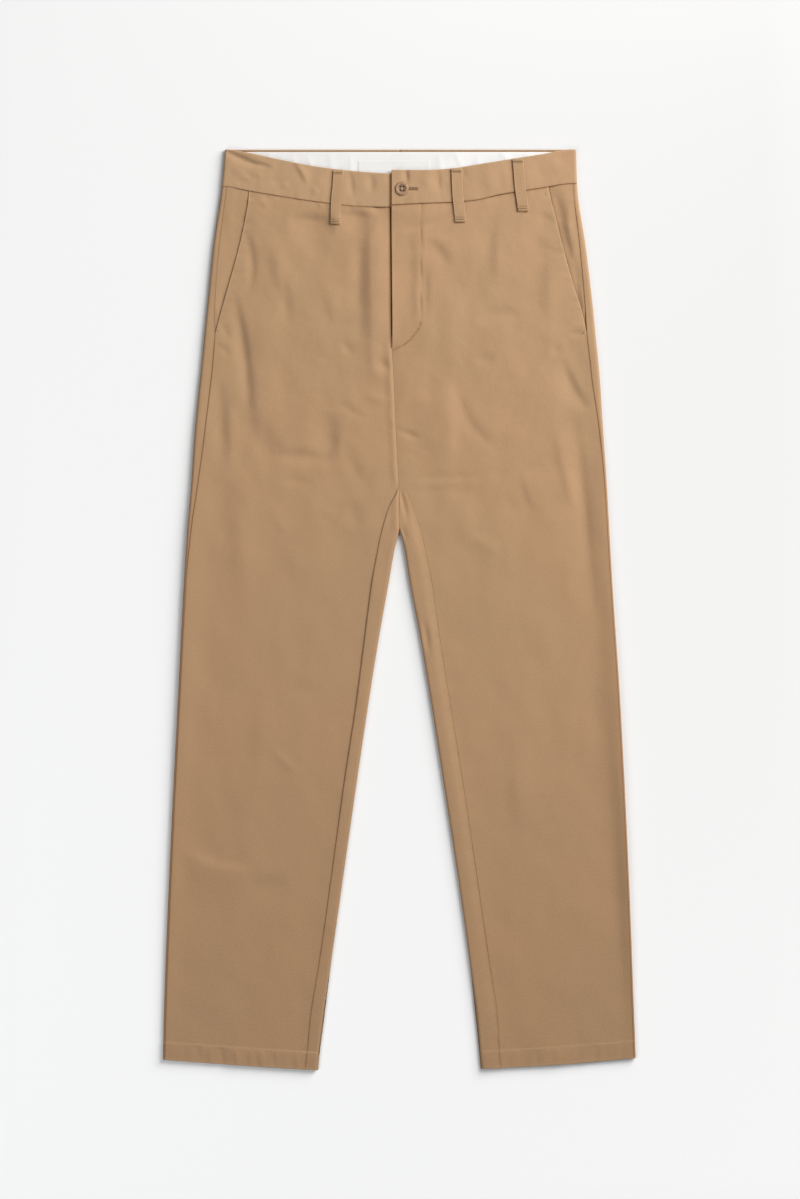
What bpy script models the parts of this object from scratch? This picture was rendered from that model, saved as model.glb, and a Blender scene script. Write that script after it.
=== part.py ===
"""Straight-leg cotton chino trousers, laid flat with the front up.

Frame: metres, +Z up, +Y towards the waist, origin under the middle of the garment.
Left and right are the wearer's: the wearer's right leg lies at -X.
Lengths below are in millimetres. "down" is the distance below the back waist edge,
and "x" is the distance from the centre line, as a cutter measures a garment on a table.
"""
import math

import bmesh
import bpy
import numpy as np

MM = 0.001

# Overall size
TOTAL_LENGTH = 1104.0
WALL = 1.2
HEM_WALL = 1.9
HEM_DEPTH = 21.0
HEM_TAPER = 4.0
SEAM_GAP = 0.3
HIDDEN_GAP = 0.8

# Rolled edge where a panel turns from the top to the underside
ROLL = 3.0
ROLL_TURNS = np.radians((68, 46, 22, 0))
RIM_REACH = 12.0

# Each hem's lower edge: at the inseam, at the side, and how far it bows down between them
HEM_ENDS = {"right": (1104.0, 1091.3, 0.6), "left": (1102.4, 1089.3, 1.6)}
HEM_INNER_X, HEM_OUTER_X = 98.4, 284.0

# Waistband, its lining and the label on it
BAND_WALL = 1.6
BAND_HEIGHT = 6.2
BAND_EDGE_ROUND = 0.45
BACK_LIP = 2.5
LINING_WALL = 1.0
LINING_RIGHT_X, LINING_LEFT_X = -202.0, 204.0
LINING_MIDDLE, LINING_DEPTH = 22.0, 41.0
LINING_END = 6.5
LABEL_RIGHT_X, LABEL_LEFT_X = -49.7, 36.7
LABEL_TOP, LABEL_BOTTOM = 13.2, 40.0
BACK_BAND_DEPTH = 43.0
BAND_SIDE_X = 206.0
BAND_EDGE_STEP = 1.0
UNDERLAP_END = 30.0
OVERLAP_END = -9.5
CORNER_DOWN = 402.0
SECOND_WAIST_ROW = 200.0
HEM_ROWS_START = 960.0
HEM_ROWS_FULL = 1060.0

# Fly
FLY_END = 238.0
FLY_SLIT_HALF = 0.9
SHIELD_RIGHT_X, SHIELD_LEFT_X = -26.0, 27.0
SHIELD_LENGTH = 168.0
LIFT_FULL_X, LIFT_END_X = 30.0, 58.0

# Pocket facing
FACING_UNDER = 14.0
FACING_END = 234.0
MOUTH_END = 221.0

# Belt loops
LOOP_WALL = 1.3
LOOP_FOLDED_WALL = 2.2
LOOP_ARCH = 2.0
LOOP_EDGE = 0.9
LOOP_SIDE_ROUND, LOOP_END_ROUND = 0.35, 0.45
LOOP_SEWN_SHARE, LOOP_CLEAR_SHARE = 0.1, 0.24
LOOP_LAP = 3.0

# Button
BUTTON_X, BUTTON_DOWN = 3.0, 47.3
BUTTON_RADIUS = 8.0
BUTTON_HOLE_RADIUS = 0.95
BUTTON_HOLE_OFFSET = 1.75
BUTTON_SEGMENTS = 28
HOLE_SEGMENTS = 10
HOLE_CUTTER_HEIGHT = 8.0

# Button's section from the middle of its foot, out round the rim and back: inset from the rim, height
BUTTON_SECTION = (
    (8.0, 0.0), (2.4, 0.0), (0.8, 0.5), (0.0, 1.4), (0.0, 2.1), (0.6, 2.9), (1.4, 3.0), (2.2, 2.65),
    (3.0, 2.25), (8.0, 2.2),
)

# Colours, as linear RGB
CHINO = (0.50, 0.33, 0.18)
CHINO_SHADE = (0.42, 0.27, 0.14)
LINING_WHITE = (0.86, 0.86, 0.85)
LABEL_WHITE = (0.84, 0.83, 0.79)
BUTTON_BROWN = (0.36, 0.22, 0.12)


def table(columns, *rows):
    """Return {column name: array of its values}, with one value for each row."""
    return dict(zip(columns.split(), np.array(rows, float).T))


# Outer edges, and how far inside them each side seam lies on the front
OUTLINE = table(
    "down  right_outer right_seam left_seam left_outer",
    (0,    -209.3,  6.0,  5.0, 211.9),
    (42,   -212.9,  6.0,  5.0, 213.1),
    (120,  -223.7,  7.0,  7.5, 223.9),
    (192,  -230.9,  9.0,  9.6, 232.3),
    (223,  -234.0, 12.5, 10.6, 235.3),
    (264,  -238.1, 13.5, 10.2, 239.5),
    (336,  -245.3, 12.2,  5.0, 244.3),
    (402,  -249.8,  7.8,  2.8, 248.8),
    (457,  -254.6,  4.6,  2.4, 251.8),
    (520,  -258.5,  2.6,  2.3, 255.4),
    (660,  -265.7,  2.3,  2.3, 264.7),
    (860,  -275.6,  2.3,  2.3, 274.7),
    (1040, -282.6,  2.3,  2.3, 281.6),
    (1104, -284.0,  2.3,  2.3, 284.0),
)

# Inner edges of the legs, and the inseams that lie on the front.
# Above the fork an inner edge runs on past the centre line, where the legs have merged.
LEGS = table(
    "down  right_inseam right_inner left_inner left_inseam",
    (380,    -0.7,   80.0, -80.0,   0.4),
    (402,    -1.0,   50.0, -50.0,   2.0),
    (412,    -3.6,   38.0, -38.0,   9.0),
    (425,   -11.0,   24.0, -24.0,  15.1),
    (440,   -16.5,   10.0, -10.0,  20.6),
    (457,   -21.2,    0.0,   0.0,  25.6),
    (468,   -23.8,   -2.9,   3.6,  28.2),
    (480,   -26.2,   -5.9,   6.1,  31.0),
    (520,   -33.4,  -12.9,  12.5,  38.9),
    (580,   -41.3,  -23.6,  24.0,  47.6),
    (660,   -51.5,  -36.5,  37.4,  60.2),
    (760,   -66.5,  -51.3,  52.9,  76.3),
    (860,   -80.1,  -65.6,  68.2,  91.2),
    (972,   -95.8,  -81.6,  84.0, 107.4),
    (1040, -106.6,  -91.6,  92.8, 117.3),
    (1080, -110.4,  -96.6,  96.6, 119.6),
    (1104, -113.4,  -98.4,  99.1, 122.0),
)

# Centre-front line: the fly's edge, then the seam to the fork
CENTRE_FRONT = table(
    "down  x",
    (60,  -10.4),
    (228,  -9.2),
    (273,  -6.8),
    (332,  -4.2),
    (376,  -2.0),
    (402,  -0.6),
)

# Slanted pocket mouths, on the front panels' outer edges
POCKET_MOUTHS = table(
    "down   right   left",
    (46,  -180.2, 178.6),
    (62,  -181.4, 182.0),
    (80,  -184.4, 186.8),
    (118, -192.7, 196.2),
    (157, -203.4, 207.1),
    (193, -213.6, 218.6),
    (221, -221.0, 224.6),
)

# Waistband's front: its top edge and the seam below it, across each half
BAND_RIGHT = table(
    "x       top   seam",
    (-213.0,  0.0, 44.9),
    (-207.0,  0.0, 44.9),
    (-188.0,  2.6, 48.4),
    (-143.0, 12.0, 56.0),
    (-98.0,  20.6, 62.8),
    (-48.5,  26.4, 68.2),
    (-11.3,  28.7, 69.2),
    (30.0,   29.2, 69.2),
)
BAND_LEFT = table(
    "x       top   seam",
    (-9.5,   24.5, 67.0),
    (28.0,   24.7, 65.0),
    (62.0,   22.8, 63.6),
    (90.0,   18.5, 61.0),
    (122.0,  13.4, 54.0),
    (168.0,   6.2, 46.8),
    (207.0,   0.0, 41.4),
    (213.5,   0.0, 41.4),
)

# Height of the top of the cloth above the table, away from the edges and at them
STACK = table(
    "down  middle edge",
    (45,    6.0,  5.8),
    (150,   5.6,  5.8),
    (221,   5.3,  6.0),
    (264,   4.6,  6.0),
    (336,   4.3,  6.2),
    (457,   4.4,  6.4),
    (560,   4.0,  6.2),
    (800,   3.8,  5.8),
    (1000,  3.9,  5.4),
    (1078,  4.5,  5.2),
    (1104,  4.7,  5.0),
)

# How far the left half is lifted where it laps over the right one at the fly
FLY_LIFT = table(
    "down  lift",
    (0,    1.9),
    (72,   1.9),
    (90,   1.1),
    (215,  0.9),
    (248,  0.0),
)

# Largest soft folds: a straight run from one end to the other, its half width and its rise
FOLDS = table(
    "x0     down0   x1    down1  half_width rise",
    (-180.0,  96.0, -178.0, 165.0,  9.0, -0.7),
    (-203.0, 168.0, -185.0, 216.0, 10.0, -0.7),
    (-185.0, 226.0, -180.0, 312.0, 12.0, -1.1),
    (-158.0, 200.0, -157.0, 300.0, 15.0,  0.9),
    (-44.0,  140.0,  -40.0, 212.0,  9.0, -0.9),
    (-26.0,  130.0,  -24.0, 215.0, 12.0,  0.9),
    (-73.0,  300.0,  -92.0, 352.0, 14.0, -1.1),
    (-110.0, 320.0, -125.0, 372.0, 17.0,  0.9),
    (118.0,  100.0,  125.0, 165.0, 12.0,  1.0),
    (172.0,  125.0,  173.0, 170.0, 10.0, -0.6),
    (36.0,   268.0,   44.0, 312.0,  9.0, -0.8),
    (4.0,    333.0,   30.0, 352.0,  9.0, -0.9),
    (78.0,   280.0,  120.0, 366.0, 13.0, -1.2),
    (100.0,  268.0,  146.0, 352.0, 15.0,  1.0),
    (196.0,  254.0,  222.0, 312.0, 11.0, -0.8),
    (-250.0, 862.0, -176.0, 850.0, 20.0,  1.1),
    (262.0,  660.0,  268.0, 860.0, 10.0, -0.9),
    (266.0,  880.0,  272.0, 1050.0, 10.0, -0.8),
    (-150.0, 560.0, -160.0, 700.0, 28.0,  1.0),
    (150.0,  600.0,  172.0, 800.0, 28.0,  0.9),
)

BELT_LOOPS = (
    # name                  x_top  down_top x_foot down_foot width
    ("belt_loop_right_front", -73.3, 24.2, -77.2, 89.4, 12.4),
    ("belt_loop_left_front",   67.9, 22.4,  72.7, 87.0, 13.2),
    ("belt_loop_left_side",   141.4, 10.8, 148.1, 74.0, 13.2),
)

# Stations down each panel, closer together where the outline or the folds change faster
STATIONS = np.array((
    45, 62, 80, 100, 122, 144, 166, 186, 205, 221, 232, 252, 276, 300, 322, 342, 362, 384, 402,
    407, 414, 423, 433, 444, 452, 457, 462, 472, 490, 520, 560, 610, 660, 710, 760, 810, 860,
    910, 960, 1000, 1040, 1078, 1081, 1104,
), float)
FORK_STATION = 407

# Columns across each piece, as shares of its width from its outer edge, side seam or end
FRONT_SHARES = (0, 0.012, 0.035, 0.08, 0.15, 0.24, 0.34, 0.45, 0.56, 0.67, 0.77, 0.86, 0.93, 0.98, 1)
CURL_SHARES = (1, 0.8, 0.52, 0.26)
FLOOR_SHARES = (0.1, 0.35, 0.65, 0.9)
STRIP_SHARES = (0, 0.04, 0.12, 0.3, 0.65, 1)
FACING_SHARES = (0, 0.2, 0.4, 0.6, 0.8, 1)
BAND_FRONT_SHARES = (1, 0.985, 0.93, 0.86, 0.79, 0.71, 0.62, 0.53, 0.44, 0.35, 0.26, 0.18, 0.11, 0.05)
BAND_TURNS = np.radians((90, 60, 30, 0))
BAND_BACK_SHARES = (0.08, 0.25, 0.5, 0.75, 1)

# Rows down the waistband, the fly's shield and a belt loop
BAND_ROW_SHARES = (0.35, 0.7)
SHIELD_ROWS = np.append(np.arange(0.0, 151.0, 30.0), SHIELD_LENGTH)
LOOP_ROW_SHARES = (0, 0.03, 0.1, 0.16, 0.24, 0.36, 0.5, 0.64, 0.76, 0.84, 0.9, 0.97, 1)

SIDES = {"right": -1.0, "left": 1.0}
BANDS = {"right": BAND_RIGHT, "left": BAND_LEFT}


def along(columns, name, at, key="down"):
    """Smooth curve through one column of a table, with no overshoot (monotone cubic)."""
    place, value = columns[key], columns[name]
    step = np.diff(place)
    slope = np.diff(value) / step
    product = slope[:-1] * slope[1:]
    total = np.where(product > 0, slope[:-1] + slope[1:], 1.0)
    tangent = np.concatenate((slope[:1], np.where(product > 0, 2 * product / total, 0.0), slope[-1:]))
    at = np.clip(at, place[0], place[-1])
    index = np.clip(np.searchsorted(place, at, side="right") - 1, 0, len(step) - 1)
    u = (at - place[index]) / step[index]
    start = value[index] * (1 - u) ** 2 * (1 + 2 * u) + tangent[index] * step[index] * u * (1 - u) ** 2
    end = value[index + 1] * u ** 2 * (3 - 2 * u) - tangent[index + 1] * step[index] * u ** 2 * (1 - u)
    return start + end


def ease(value, low, high):
    """0 below low, 1 above high and a smooth step between them."""
    u = np.clip((value - low) / (high - low), 0.0, 1.0)
    return u * u * (3 - 2 * u)


def outer_edge(side, down):
    return along(OUTLINE, side + "_outer", down)


def side_seam(side, down):
    return outer_edge(side, down) - SIDES[side] * along(OUTLINE, side + "_seam", down)


def inner_edge(side, down):
    """Inner edge of a leg; above the fork, the centre line less half the seam's gap."""
    reach = SIDES[side] * along(LEGS, side + "_inner", down)
    return SIDES[side] * np.maximum(reach, SEAM_GAP / 2)


def front_outer(side, down):
    """Outer edge of a front panel: the pocket mouth, then the side seam."""
    seam = side_seam(side, down) - SIDES[side] * SEAM_GAP / 2
    mouth = along(POCKET_MOUTHS, side, down)
    return np.where(down < MOUTH_END, mouth, seam)


def front_inner(side, down):
    """Inner edge of a front panel: the fly's edge, the centre seam, then the inseam."""
    half_gap = FLY_SLIT_HALF + (SEAM_GAP / 2 - FLY_SLIT_HALF) * ease(down, FLY_END - 25.0, FLY_END)
    centre = along(CENTRE_FRONT, "x", down) + SIDES[side] * half_gap
    inseam = along(LEGS, side + "_inseam", down) + SIDES[side] * SEAM_GAP / 2
    return np.where(down < CORNER_DOWN, centre, inseam)


def hem_line(side, x):
    """The hem's lower edge: nearly straight, lower at the inseam than at the side."""
    low, high, bow = HEM_ENDS[side]
    share = np.clip((abs(x) - HEM_INNER_X) / (HEM_OUTER_X - HEM_INNER_X), 0.0, 1.0)
    return low + (high - low) * share + bow * np.sin(math.pi * share)


def back_band_seam(side, x):
    """The seam under the waistband's back, from its height at the side to the centre back."""
    at_side = BANDS[side]["seam"][0 if side == "right" else -1]
    return BACK_BAND_DEPTH + (at_side - BACK_BAND_DEPTH) * np.clip(abs(x) / BAND_SIDE_X, 0.0, 1.0)


def station_down(side, x, upper, stations):
    """Bend the stations to follow the waistband's seam at the top and the hem at the bottom."""
    front = along(BANDS[side], "seam", x, key="x")
    seam = np.where(upper, front, back_band_seam(side, x)) + SEAM_GAP
    near_waist = 1 - ease(stations, STATIONS[0], SECOND_WAIST_ROW)
    near_hem = ease(stations, HEM_ROWS_START, HEM_ROWS_FULL)
    down = stations + near_waist * (seam - STATIONS[0])
    return down + near_hem * (hem_line(side, x) - STATIONS[-1])


def fold_relief(x, down):
    """Sum of the soft folds: each is a bell-shaped ridge or trough about a straight run."""
    relief = np.zeros(np.broadcast(x, down).shape)
    for x0, down0, x1, down1, half_width, rise in zip(*FOLDS.values()):
        run_x, run_down = x1 - x0, down1 - down0
        share = ((x - x0) * run_x + (down - down0) * run_down) / (run_x ** 2 + run_down ** 2)
        share = np.clip(share, 0.0, 1.0)
        distance = np.hypot(x - x0 - share * run_x, down - down0 - share * run_down)
        relief += rise * np.exp(-(distance / half_width) ** 2)
    return relief


def fly_lift(side, x, down):
    """How far the left half stands over the right half at the fly."""
    if side == "right":
        return np.zeros(np.broadcast(x, down).shape)
    return along(FLY_LIFT, "lift", down) * (1 - ease(x, LIFT_FULL_X, LIFT_END_X))


def edge_distances(side, x, down):
    """Distances in from the outer edge and from the inner edge of a leg."""
    sign = SIDES[side]
    return sign * (outer_edge(side, down) - x), sign * (x - along(LEGS, side + "_inner", down))


def cloth_height(side, x, down):
    """Top of the cloth above the table: the plies, a fuller rim near the edges, and the folds."""
    from_outer, from_inner = edge_distances(side, x, down)
    middle = along(STACK, "middle", down)
    rim = np.exp(-np.maximum(from_outer, 0) / RIM_REACH) + np.exp(-np.maximum(from_inner, 0) / RIM_REACH)
    rim = np.minimum(rim, 1.0)
    relief = fold_relief(x, down) * (1 - rim)
    return middle + (along(STACK, "edge", down) - middle) * rim + relief + fly_lift(side, x, down)


def skin(side, x, down, upper, wall, height=None, sink=0.0):
    """Outer and inner points of a wall on the top (upper) or the underside of the garment.

    The section is flat away from the edges, and half an ellipse where it turns over them.
    """
    x, down, upper = np.broadcast_arrays(x, down, upper)
    height = cloth_height(side, x, down) if height is None else height
    from_outer, from_inner = edge_distances(side, x, down)
    near = np.clip(np.minimum(from_outer, from_inner) / ROLL, 0.0, 1.0)
    towards = np.where(from_outer < from_inner, SIDES[side], -SIDES[side])
    facing = np.where(upper, 1.0, -1.0)
    turn = np.arccos(1 - near)
    z = height / 2 * (1 + facing * np.sin(turn))
    normal_x = towards * np.cos(turn) / ROLL
    normal_z = facing * np.sin(turn) / (height / 2)
    length = np.hypot(normal_x, normal_z)
    normal = np.stack((normal_x / length, np.zeros(x.shape), normal_z / length), axis=-1)
    outer = np.stack((x, down, z), axis=-1) - normal * np.expand_dims(sink + np.zeros(x.shape), -1)
    return outer, outer - normal * np.expand_dims(wall - sink + np.zeros(x.shape), -1)


def panel_grid(side, column_x, upper, stations):
    """Places of a panel's points: each column keeps its own line as the stations bend."""
    upper = np.array(upper)[None, :]
    down = np.repeat(stations[:, None], upper.shape[1], axis=1)
    for _ in range(3):
        x = np.stack([line(down[:, index]) for index, line in enumerate(column_x)], axis=1)
        down = station_down(side, x, upper, stations[:, None])
    return x, down, np.broadcast_to(upper, x.shape)


def panel_wall(side, x, down):
    """Cloth's thickness, more where the hem is turned up inside."""
    turn_up = hem_line(side, x) - HEM_DEPTH
    return WALL + (HEM_WALL - WALL) * ease(down, turn_up - HEM_TAPER, turn_up)


def cloth(name, patches, colour, roughness=0.9):
    """Make one closed wall from patches of (outer, inner) point grids.

    Patches join where their outer points meet, and every free border gets a rim.
    """
    number = {}
    outer_points, inner_points, faces = [], [], []
    for outer, inner in patches:
        rows, columns = outer.shape[:2]
        index = np.zeros((rows, columns), int)
        for row in range(rows):
            for column in range(columns):
                key = tuple(np.round(outer[row, column], 3) + 0.0)
                if key not in number:
                    number[key] = len(outer_points)
                    outer_points.append(outer[row, column])
                    inner_points.append(inner[row, column])
                index[row, column] = number[key]
        for row in range(rows - 1):
            for column in range(columns - 1):
                faces.append((index[row, column], index[row, column + 1],
                              index[row + 1, column + 1], index[row + 1, column]))
    count = len(outer_points)
    edges = {(face[corner], face[(corner + 1) % 4]) for face in faces for corner in range(4)}
    border = sorted((a, b) for a, b in edges if (b, a) not in edges)
    inside = [tuple(corner + count for corner in reversed(face)) for face in faces]
    rim = [(b, a, a + count, b + count) for a, b in border]
    points = np.array(outer_points + inner_points)
    points[:, 1] = TOTAL_LENGTH / 2 - points[:, 1]
    mesh = bpy.data.meshes.new(name)
    mesh.from_pydata((points * MM).tolist(), [], [tuple(map(int, face)) for face in faces + inside + rim])
    return add_object(name, mesh, colour, roughness)


def add_object(name, mesh, colour, roughness):
    """Put a mesh in the scene with its faces outwards, smooth, and in its own material."""
    model = bmesh.new()
    model.from_mesh(mesh)
    bmesh.ops.recalc_face_normals(model, faces=model.faces)
    model.to_mesh(mesh)
    model.free()
    mesh.shade_smooth()
    mesh.set_sharp_from_angle(angle=math.radians(40))
    material = bpy.data.materials.new(name + "_finish")
    material.use_nodes = True
    shader = material.node_tree.nodes["Principled BSDF"]
    shader.inputs["Base Color"].default_value = (*colour, 1.0)
    shader.inputs["Roughness"].default_value = roughness
    shader.inputs["Metallic"].default_value = 0.0
    mesh.materials.append(material)
    made = bpy.data.objects.new(name, mesh)
    bpy.context.collection.objects.link(made)
    return made


def front_panel(side):
    """Front leg piece, from the waistband's seam to the hem, top layer only."""

    def line(share):
        return lambda down: front_outer(side, down) * (1 - share) + front_inner(side, down) * share

    columns = [line(share) for share in FRONT_SHARES]
    x, down, upper = panel_grid(side, columns, [True] * len(columns), STATIONS)
    cloth("front_" + side, [skin(side, x, down, upper, panel_wall(side, x, down))], CHINO)


def back_panel(side):
    """Back leg piece: from the side seam round the outer edge, along the table to the centre
    back or the inner edge and, below the fork, over the inner edge to the inseam."""
    sign = SIDES[side]
    roll_steps = ROLL * (1 - np.cos(ROLL_TURNS))

    def from_seam(share):
        def line(down):
            inset = along(OUTLINE, side + "_seam", down) - SEAM_GAP / 2
            arc = np.arccos(1 - np.clip(inset / ROLL, 0, 1)) * share
            return outer_edge(side, down) - sign * (inset if share == 1 else ROLL * (1 - np.cos(arc)))
        return line

    def from_outer(distance):
        return lambda down: outer_edge(side, down) - sign * distance

    def across_floor(share):
        def line(down):
            return outer_edge(side, down) * (1 - share) + inner_edge(side, down) * share
        return line

    def from_inner(distance):
        return lambda down: inner_edge(side, down) + sign * distance

    def over_strip(distance_share):
        def line(down):
            edge = inner_edge(side, down)
            end = along(LEGS, side + "_inseam", down) - sign * SEAM_GAP / 2
            return edge + (end - edge) * distance_share
        return line

    upper_columns = [from_seam(share) for share in CURL_SHARES]
    lower_columns = [from_outer(step) for step in roll_steps[::-1]] + [from_outer(ROLL)]
    lower_columns += [across_floor(share) for share in FLOOR_SHARES]
    lower_columns += [from_inner(step) for step in (ROLL, *roll_steps[[0, 2, 3]])]
    columns = upper_columns + lower_columns
    upper = [True] * len(upper_columns) + [False] * len(lower_columns)
    x, down, upper = panel_grid(side, columns, upper, STATIONS)
    floor_patch = skin(side, x, down, upper, panel_wall(side, x, down))

    stations = STATIONS[STATIONS >= FORK_STATION]
    strip = [over_strip(share) for share in STRIP_SHARES]
    x, down, upper = panel_grid(side, strip, [True] * len(strip), stations)
    strip_patch = skin(side, x, down, upper, panel_wall(side, x, down))
    cloth("back_" + side, [floor_patch, strip_patch], CHINO)


def pocket_facing(side):
    """Facing behind the slanted mouth, from the side seam to well under the front panel."""
    sign = SIDES[side]
    stations = STATIONS[STATIONS < FACING_END]

    def line(share):
        def at(down):
            outer = side_seam(side, down) - sign * SEAM_GAP
            inner = along(POCKET_MOUTHS, side, down) - sign * FACING_UNDER
            return outer * (1 - share) + inner * share
        return at

    columns = [line(share) for share in FACING_SHARES]
    x, down, upper = panel_grid(side, columns, [True] * len(columns), stations)
    seam = side_seam(side, down)
    mouth = along(POCKET_MOUTHS, side, down)
    below = ease(sign * (seam - x), 0.0, 0.8 * np.maximum(sign * (seam - mouth), 1.0))
    below = np.maximum(below, ease(down, MOUTH_END - 36, MOUTH_END - 16))
    height = cloth_height(side, x, down) - (WALL + HIDDEN_GAP) * below
    cloth("pocket_facing_" + side, [skin(side, x, down, upper, WALL, height)], CHINO_SHADE)


def band_height(side, x, down):
    return BAND_HEIGHT + fly_lift(side, x, down)


def waistband(side):
    """Half the waistband: front ply, round the side, and back ply to the centre back.

    The cloth is turned over the back ply's top edge, down to the lining.
    """
    front_end = UNDERLAP_END if side == "right" else OVERLAP_END
    top_edge = outer_edge(side, 0.0)
    front_width = abs(top_edge - front_end)
    back_width = abs(top_edge) - SEAM_GAP / 2
    roll = (ROLL * (1 - np.cos(BAND_TURNS))).tolist()
    front = [front_width * share for share in BAND_FRONT_SHARES] + roll
    back = roll[-2::-1] + [back_width * share for share in BAND_BACK_SHARES]
    inset = np.array(front + back)
    on_top = np.array([True] * len(front) + [False] * len(back))

    place = top_edge - SIDES[side] * inset
    lean = 1 - inset / max(front_width, back_width)
    foot = place + (outer_edge(side, BACK_BAND_DEPTH) - top_edge) * lean
    top = np.where(on_top, along(BANDS[side], "top", place, key="x"), 0.0)
    front_seam = along(BANDS[side], "seam", foot, key="x")
    seam = np.where(on_top, front_seam, back_band_seam(side, foot))
    near_top = [top + step for step in (0.0, BAND_EDGE_STEP, BACK_LIP, BACK_LIP + SEAM_GAP)]
    between = [top + (seam - top) * share for share in BAND_ROW_SHARES]
    down = np.array(near_top + between + [seam - BAND_EDGE_STEP, seam])
    x = place + (outer_edge(side, down) - top_edge) * lean

    lip = np.zeros(x.shape)
    lip[:3, ~on_top & (inset > LINING_END)] = SEAM_GAP + LINING_WALL
    sink = np.zeros(x.shape)
    sink[[0, -1], :] = BAND_EDGE_ROUND
    sink[:, on_top & (inset >= front_width)] = BAND_EDGE_ROUND
    patch = skin(side, x, down, on_top, BAND_WALL + lip, band_height(side, x, down), sink)
    cloth("waistband_" + side, [patch], CHINO)


def fly_shield():
    """Strip behind the fly's slit, under both front panels."""
    x = np.linspace(SHIELD_RIGHT_X, SHIELD_LEFT_X, 7)[None, :]
    down = along(BAND_RIGHT, "seam", x, key="x") + SEAM_GAP + SHIELD_ROWS[:, None]
    height = cloth_height("right", x, down) - WALL - HIDDEN_GAP
    cloth("fly_shield", [skin("right", x, down, True, WALL, height)], CHINO_SHADE)


def flat_sheet(name, xs, downs, z, wall, colour):
    """Level sheet of cloth on a grid of places."""
    x, down = np.meshgrid(xs, downs)
    top = np.stack((x, down, np.full(x.shape, z + wall)), axis=-1)
    bottom = top - np.array((0.0, 0.0, wall))
    cloth(name, [(top, bottom)], colour)


def top_surface(side, x, down):
    """Top of whatever lies under a belt loop: the waistband, or the front below it."""
    seam = along(BANDS[side], "seam", x, key="x")
    front = cloth_height(side, x, down)
    return np.where(down < seam + LOOP_LAP, np.maximum(band_height(side, x, down), front), front)


def belt_loop(name, x_top, down_top, x_foot, down_foot, width):
    """Folded strip: both ends turned under and sewn down, the run between them standing clear."""
    side = "right" if x_top < 0 else "left"
    share = np.array(LOOP_ROW_SHARES)[:, None]
    across = np.array((-0.5, -0.5 + LOOP_EDGE / width, 0.5 - LOOP_EDGE / width, 0.5))[None, :]
    x = x_top + (x_foot - x_top) * share + width * across
    down = down_top + (down_foot - down_top) * share + 0 * across
    from_end = np.minimum(share, 1 - share) + 0 * across
    clear = ease(from_end, LOOP_SEWN_SHARE, LOOP_CLEAR_SHARE)
    under = top_surface(side, x, down) + SEAM_GAP + LOOP_ARCH * clear
    thick = LOOP_FOLDED_WALL + (LOOP_WALL - LOOP_FOLDED_WALL) * clear
    at_side, at_end = abs(across) == 0.5, from_end == 0.0
    soft_edge = LOOP_SIDE_ROUND * at_side + LOOP_END_ROUND * at_end
    outer = np.stack((x, down, under + thick - soft_edge), axis=-1)
    inner = np.stack((x, down, under), axis=-1)
    cloth(name, [(outer, inner)], CHINO)


def button():
    """Four-hole sew-through button with a raised rim round a shallow dish."""
    profile = [(BUTTON_RADIUS - inset, height) for inset, height in BUTTON_SECTION]
    seat = float(band_height("left", BUTTON_X, BUTTON_DOWN)) + SEAM_GAP
    place = np.array((BUTTON_X, TOTAL_LENGTH / 2 - BUTTON_DOWN, seat))
    model = bmesh.new()
    points = [model.verts.new((radius * MM, 0.0, height * MM)) for radius, height in profile]
    outline = [model.edges.new(pair) for pair in zip(points, points[1:])]
    bmesh.ops.spin(model, geom=points + outline, cent=(0, 0, 0), axis=(0, 0, 1),
                   angle=2 * math.pi, steps=BUTTON_SEGMENTS, use_merge=True)
    bmesh.ops.remove_doubles(model, verts=model.verts, dist=0.00001)
    bmesh.ops.translate(model, verts=model.verts, vec=(place * MM).tolist())
    mesh = bpy.data.meshes.new("button")
    model.to_mesh(mesh)
    model.free()
    made = add_object("button", mesh, BUTTON_BROWN, 0.4)

    holes = bmesh.new()
    for step_x in (-1, 1):
        for step_y in (-1, 1):
            post = bmesh.ops.create_cone(
                holes, segments=HOLE_SEGMENTS, radius1=BUTTON_HOLE_RADIUS * MM,
                radius2=BUTTON_HOLE_RADIUS * MM, depth=HOLE_CUTTER_HEIGHT * MM, cap_ends=True)
            centre = place + np.array((step_x, step_y, 0.0)) * BUTTON_HOLE_OFFSET
            bmesh.ops.translate(holes, verts=post["verts"], vec=(centre * MM).tolist())
    cutter_mesh = bpy.data.meshes.new("button_hole_cutter")
    holes.to_mesh(cutter_mesh)
    holes.free()
    cutter = bpy.data.objects.new("button_hole_cutter", cutter_mesh)
    bpy.context.collection.objects.link(cutter)
    cutter.hide_render = True
    cutter.display_type = "WIRE"
    cut = made.modifiers.new("sewing_holes", "BOOLEAN")
    cut.operation = "DIFFERENCE"
    cut.object = cutter


for old in list(bpy.data.objects):
    bpy.data.objects.remove(old, do_unlink=True)

for panel_side in SIDES:
    front_panel(panel_side)
    back_panel(panel_side)
    pocket_facing(panel_side)
    waistband(panel_side)
fly_shield()
flat_sheet("waistband_lining", np.linspace(LINING_RIGHT_X, LINING_LEFT_X, 9),
           (BACK_LIP + SEAM_GAP, LINING_MIDDLE, LINING_DEPTH), BAND_WALL + SEAM_GAP, LINING_WALL, LINING_WHITE)
flat_sheet("label_patch", (LABEL_RIGHT_X, LABEL_LEFT_X), (LABEL_TOP, LABEL_BOTTOM),
           BAND_WALL + LINING_WALL + 2 * SEAM_GAP, LINING_WALL, LABEL_WHITE)
for loop_row in BELT_LOOPS:
    belt_loop(*loop_row)
button()
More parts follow.
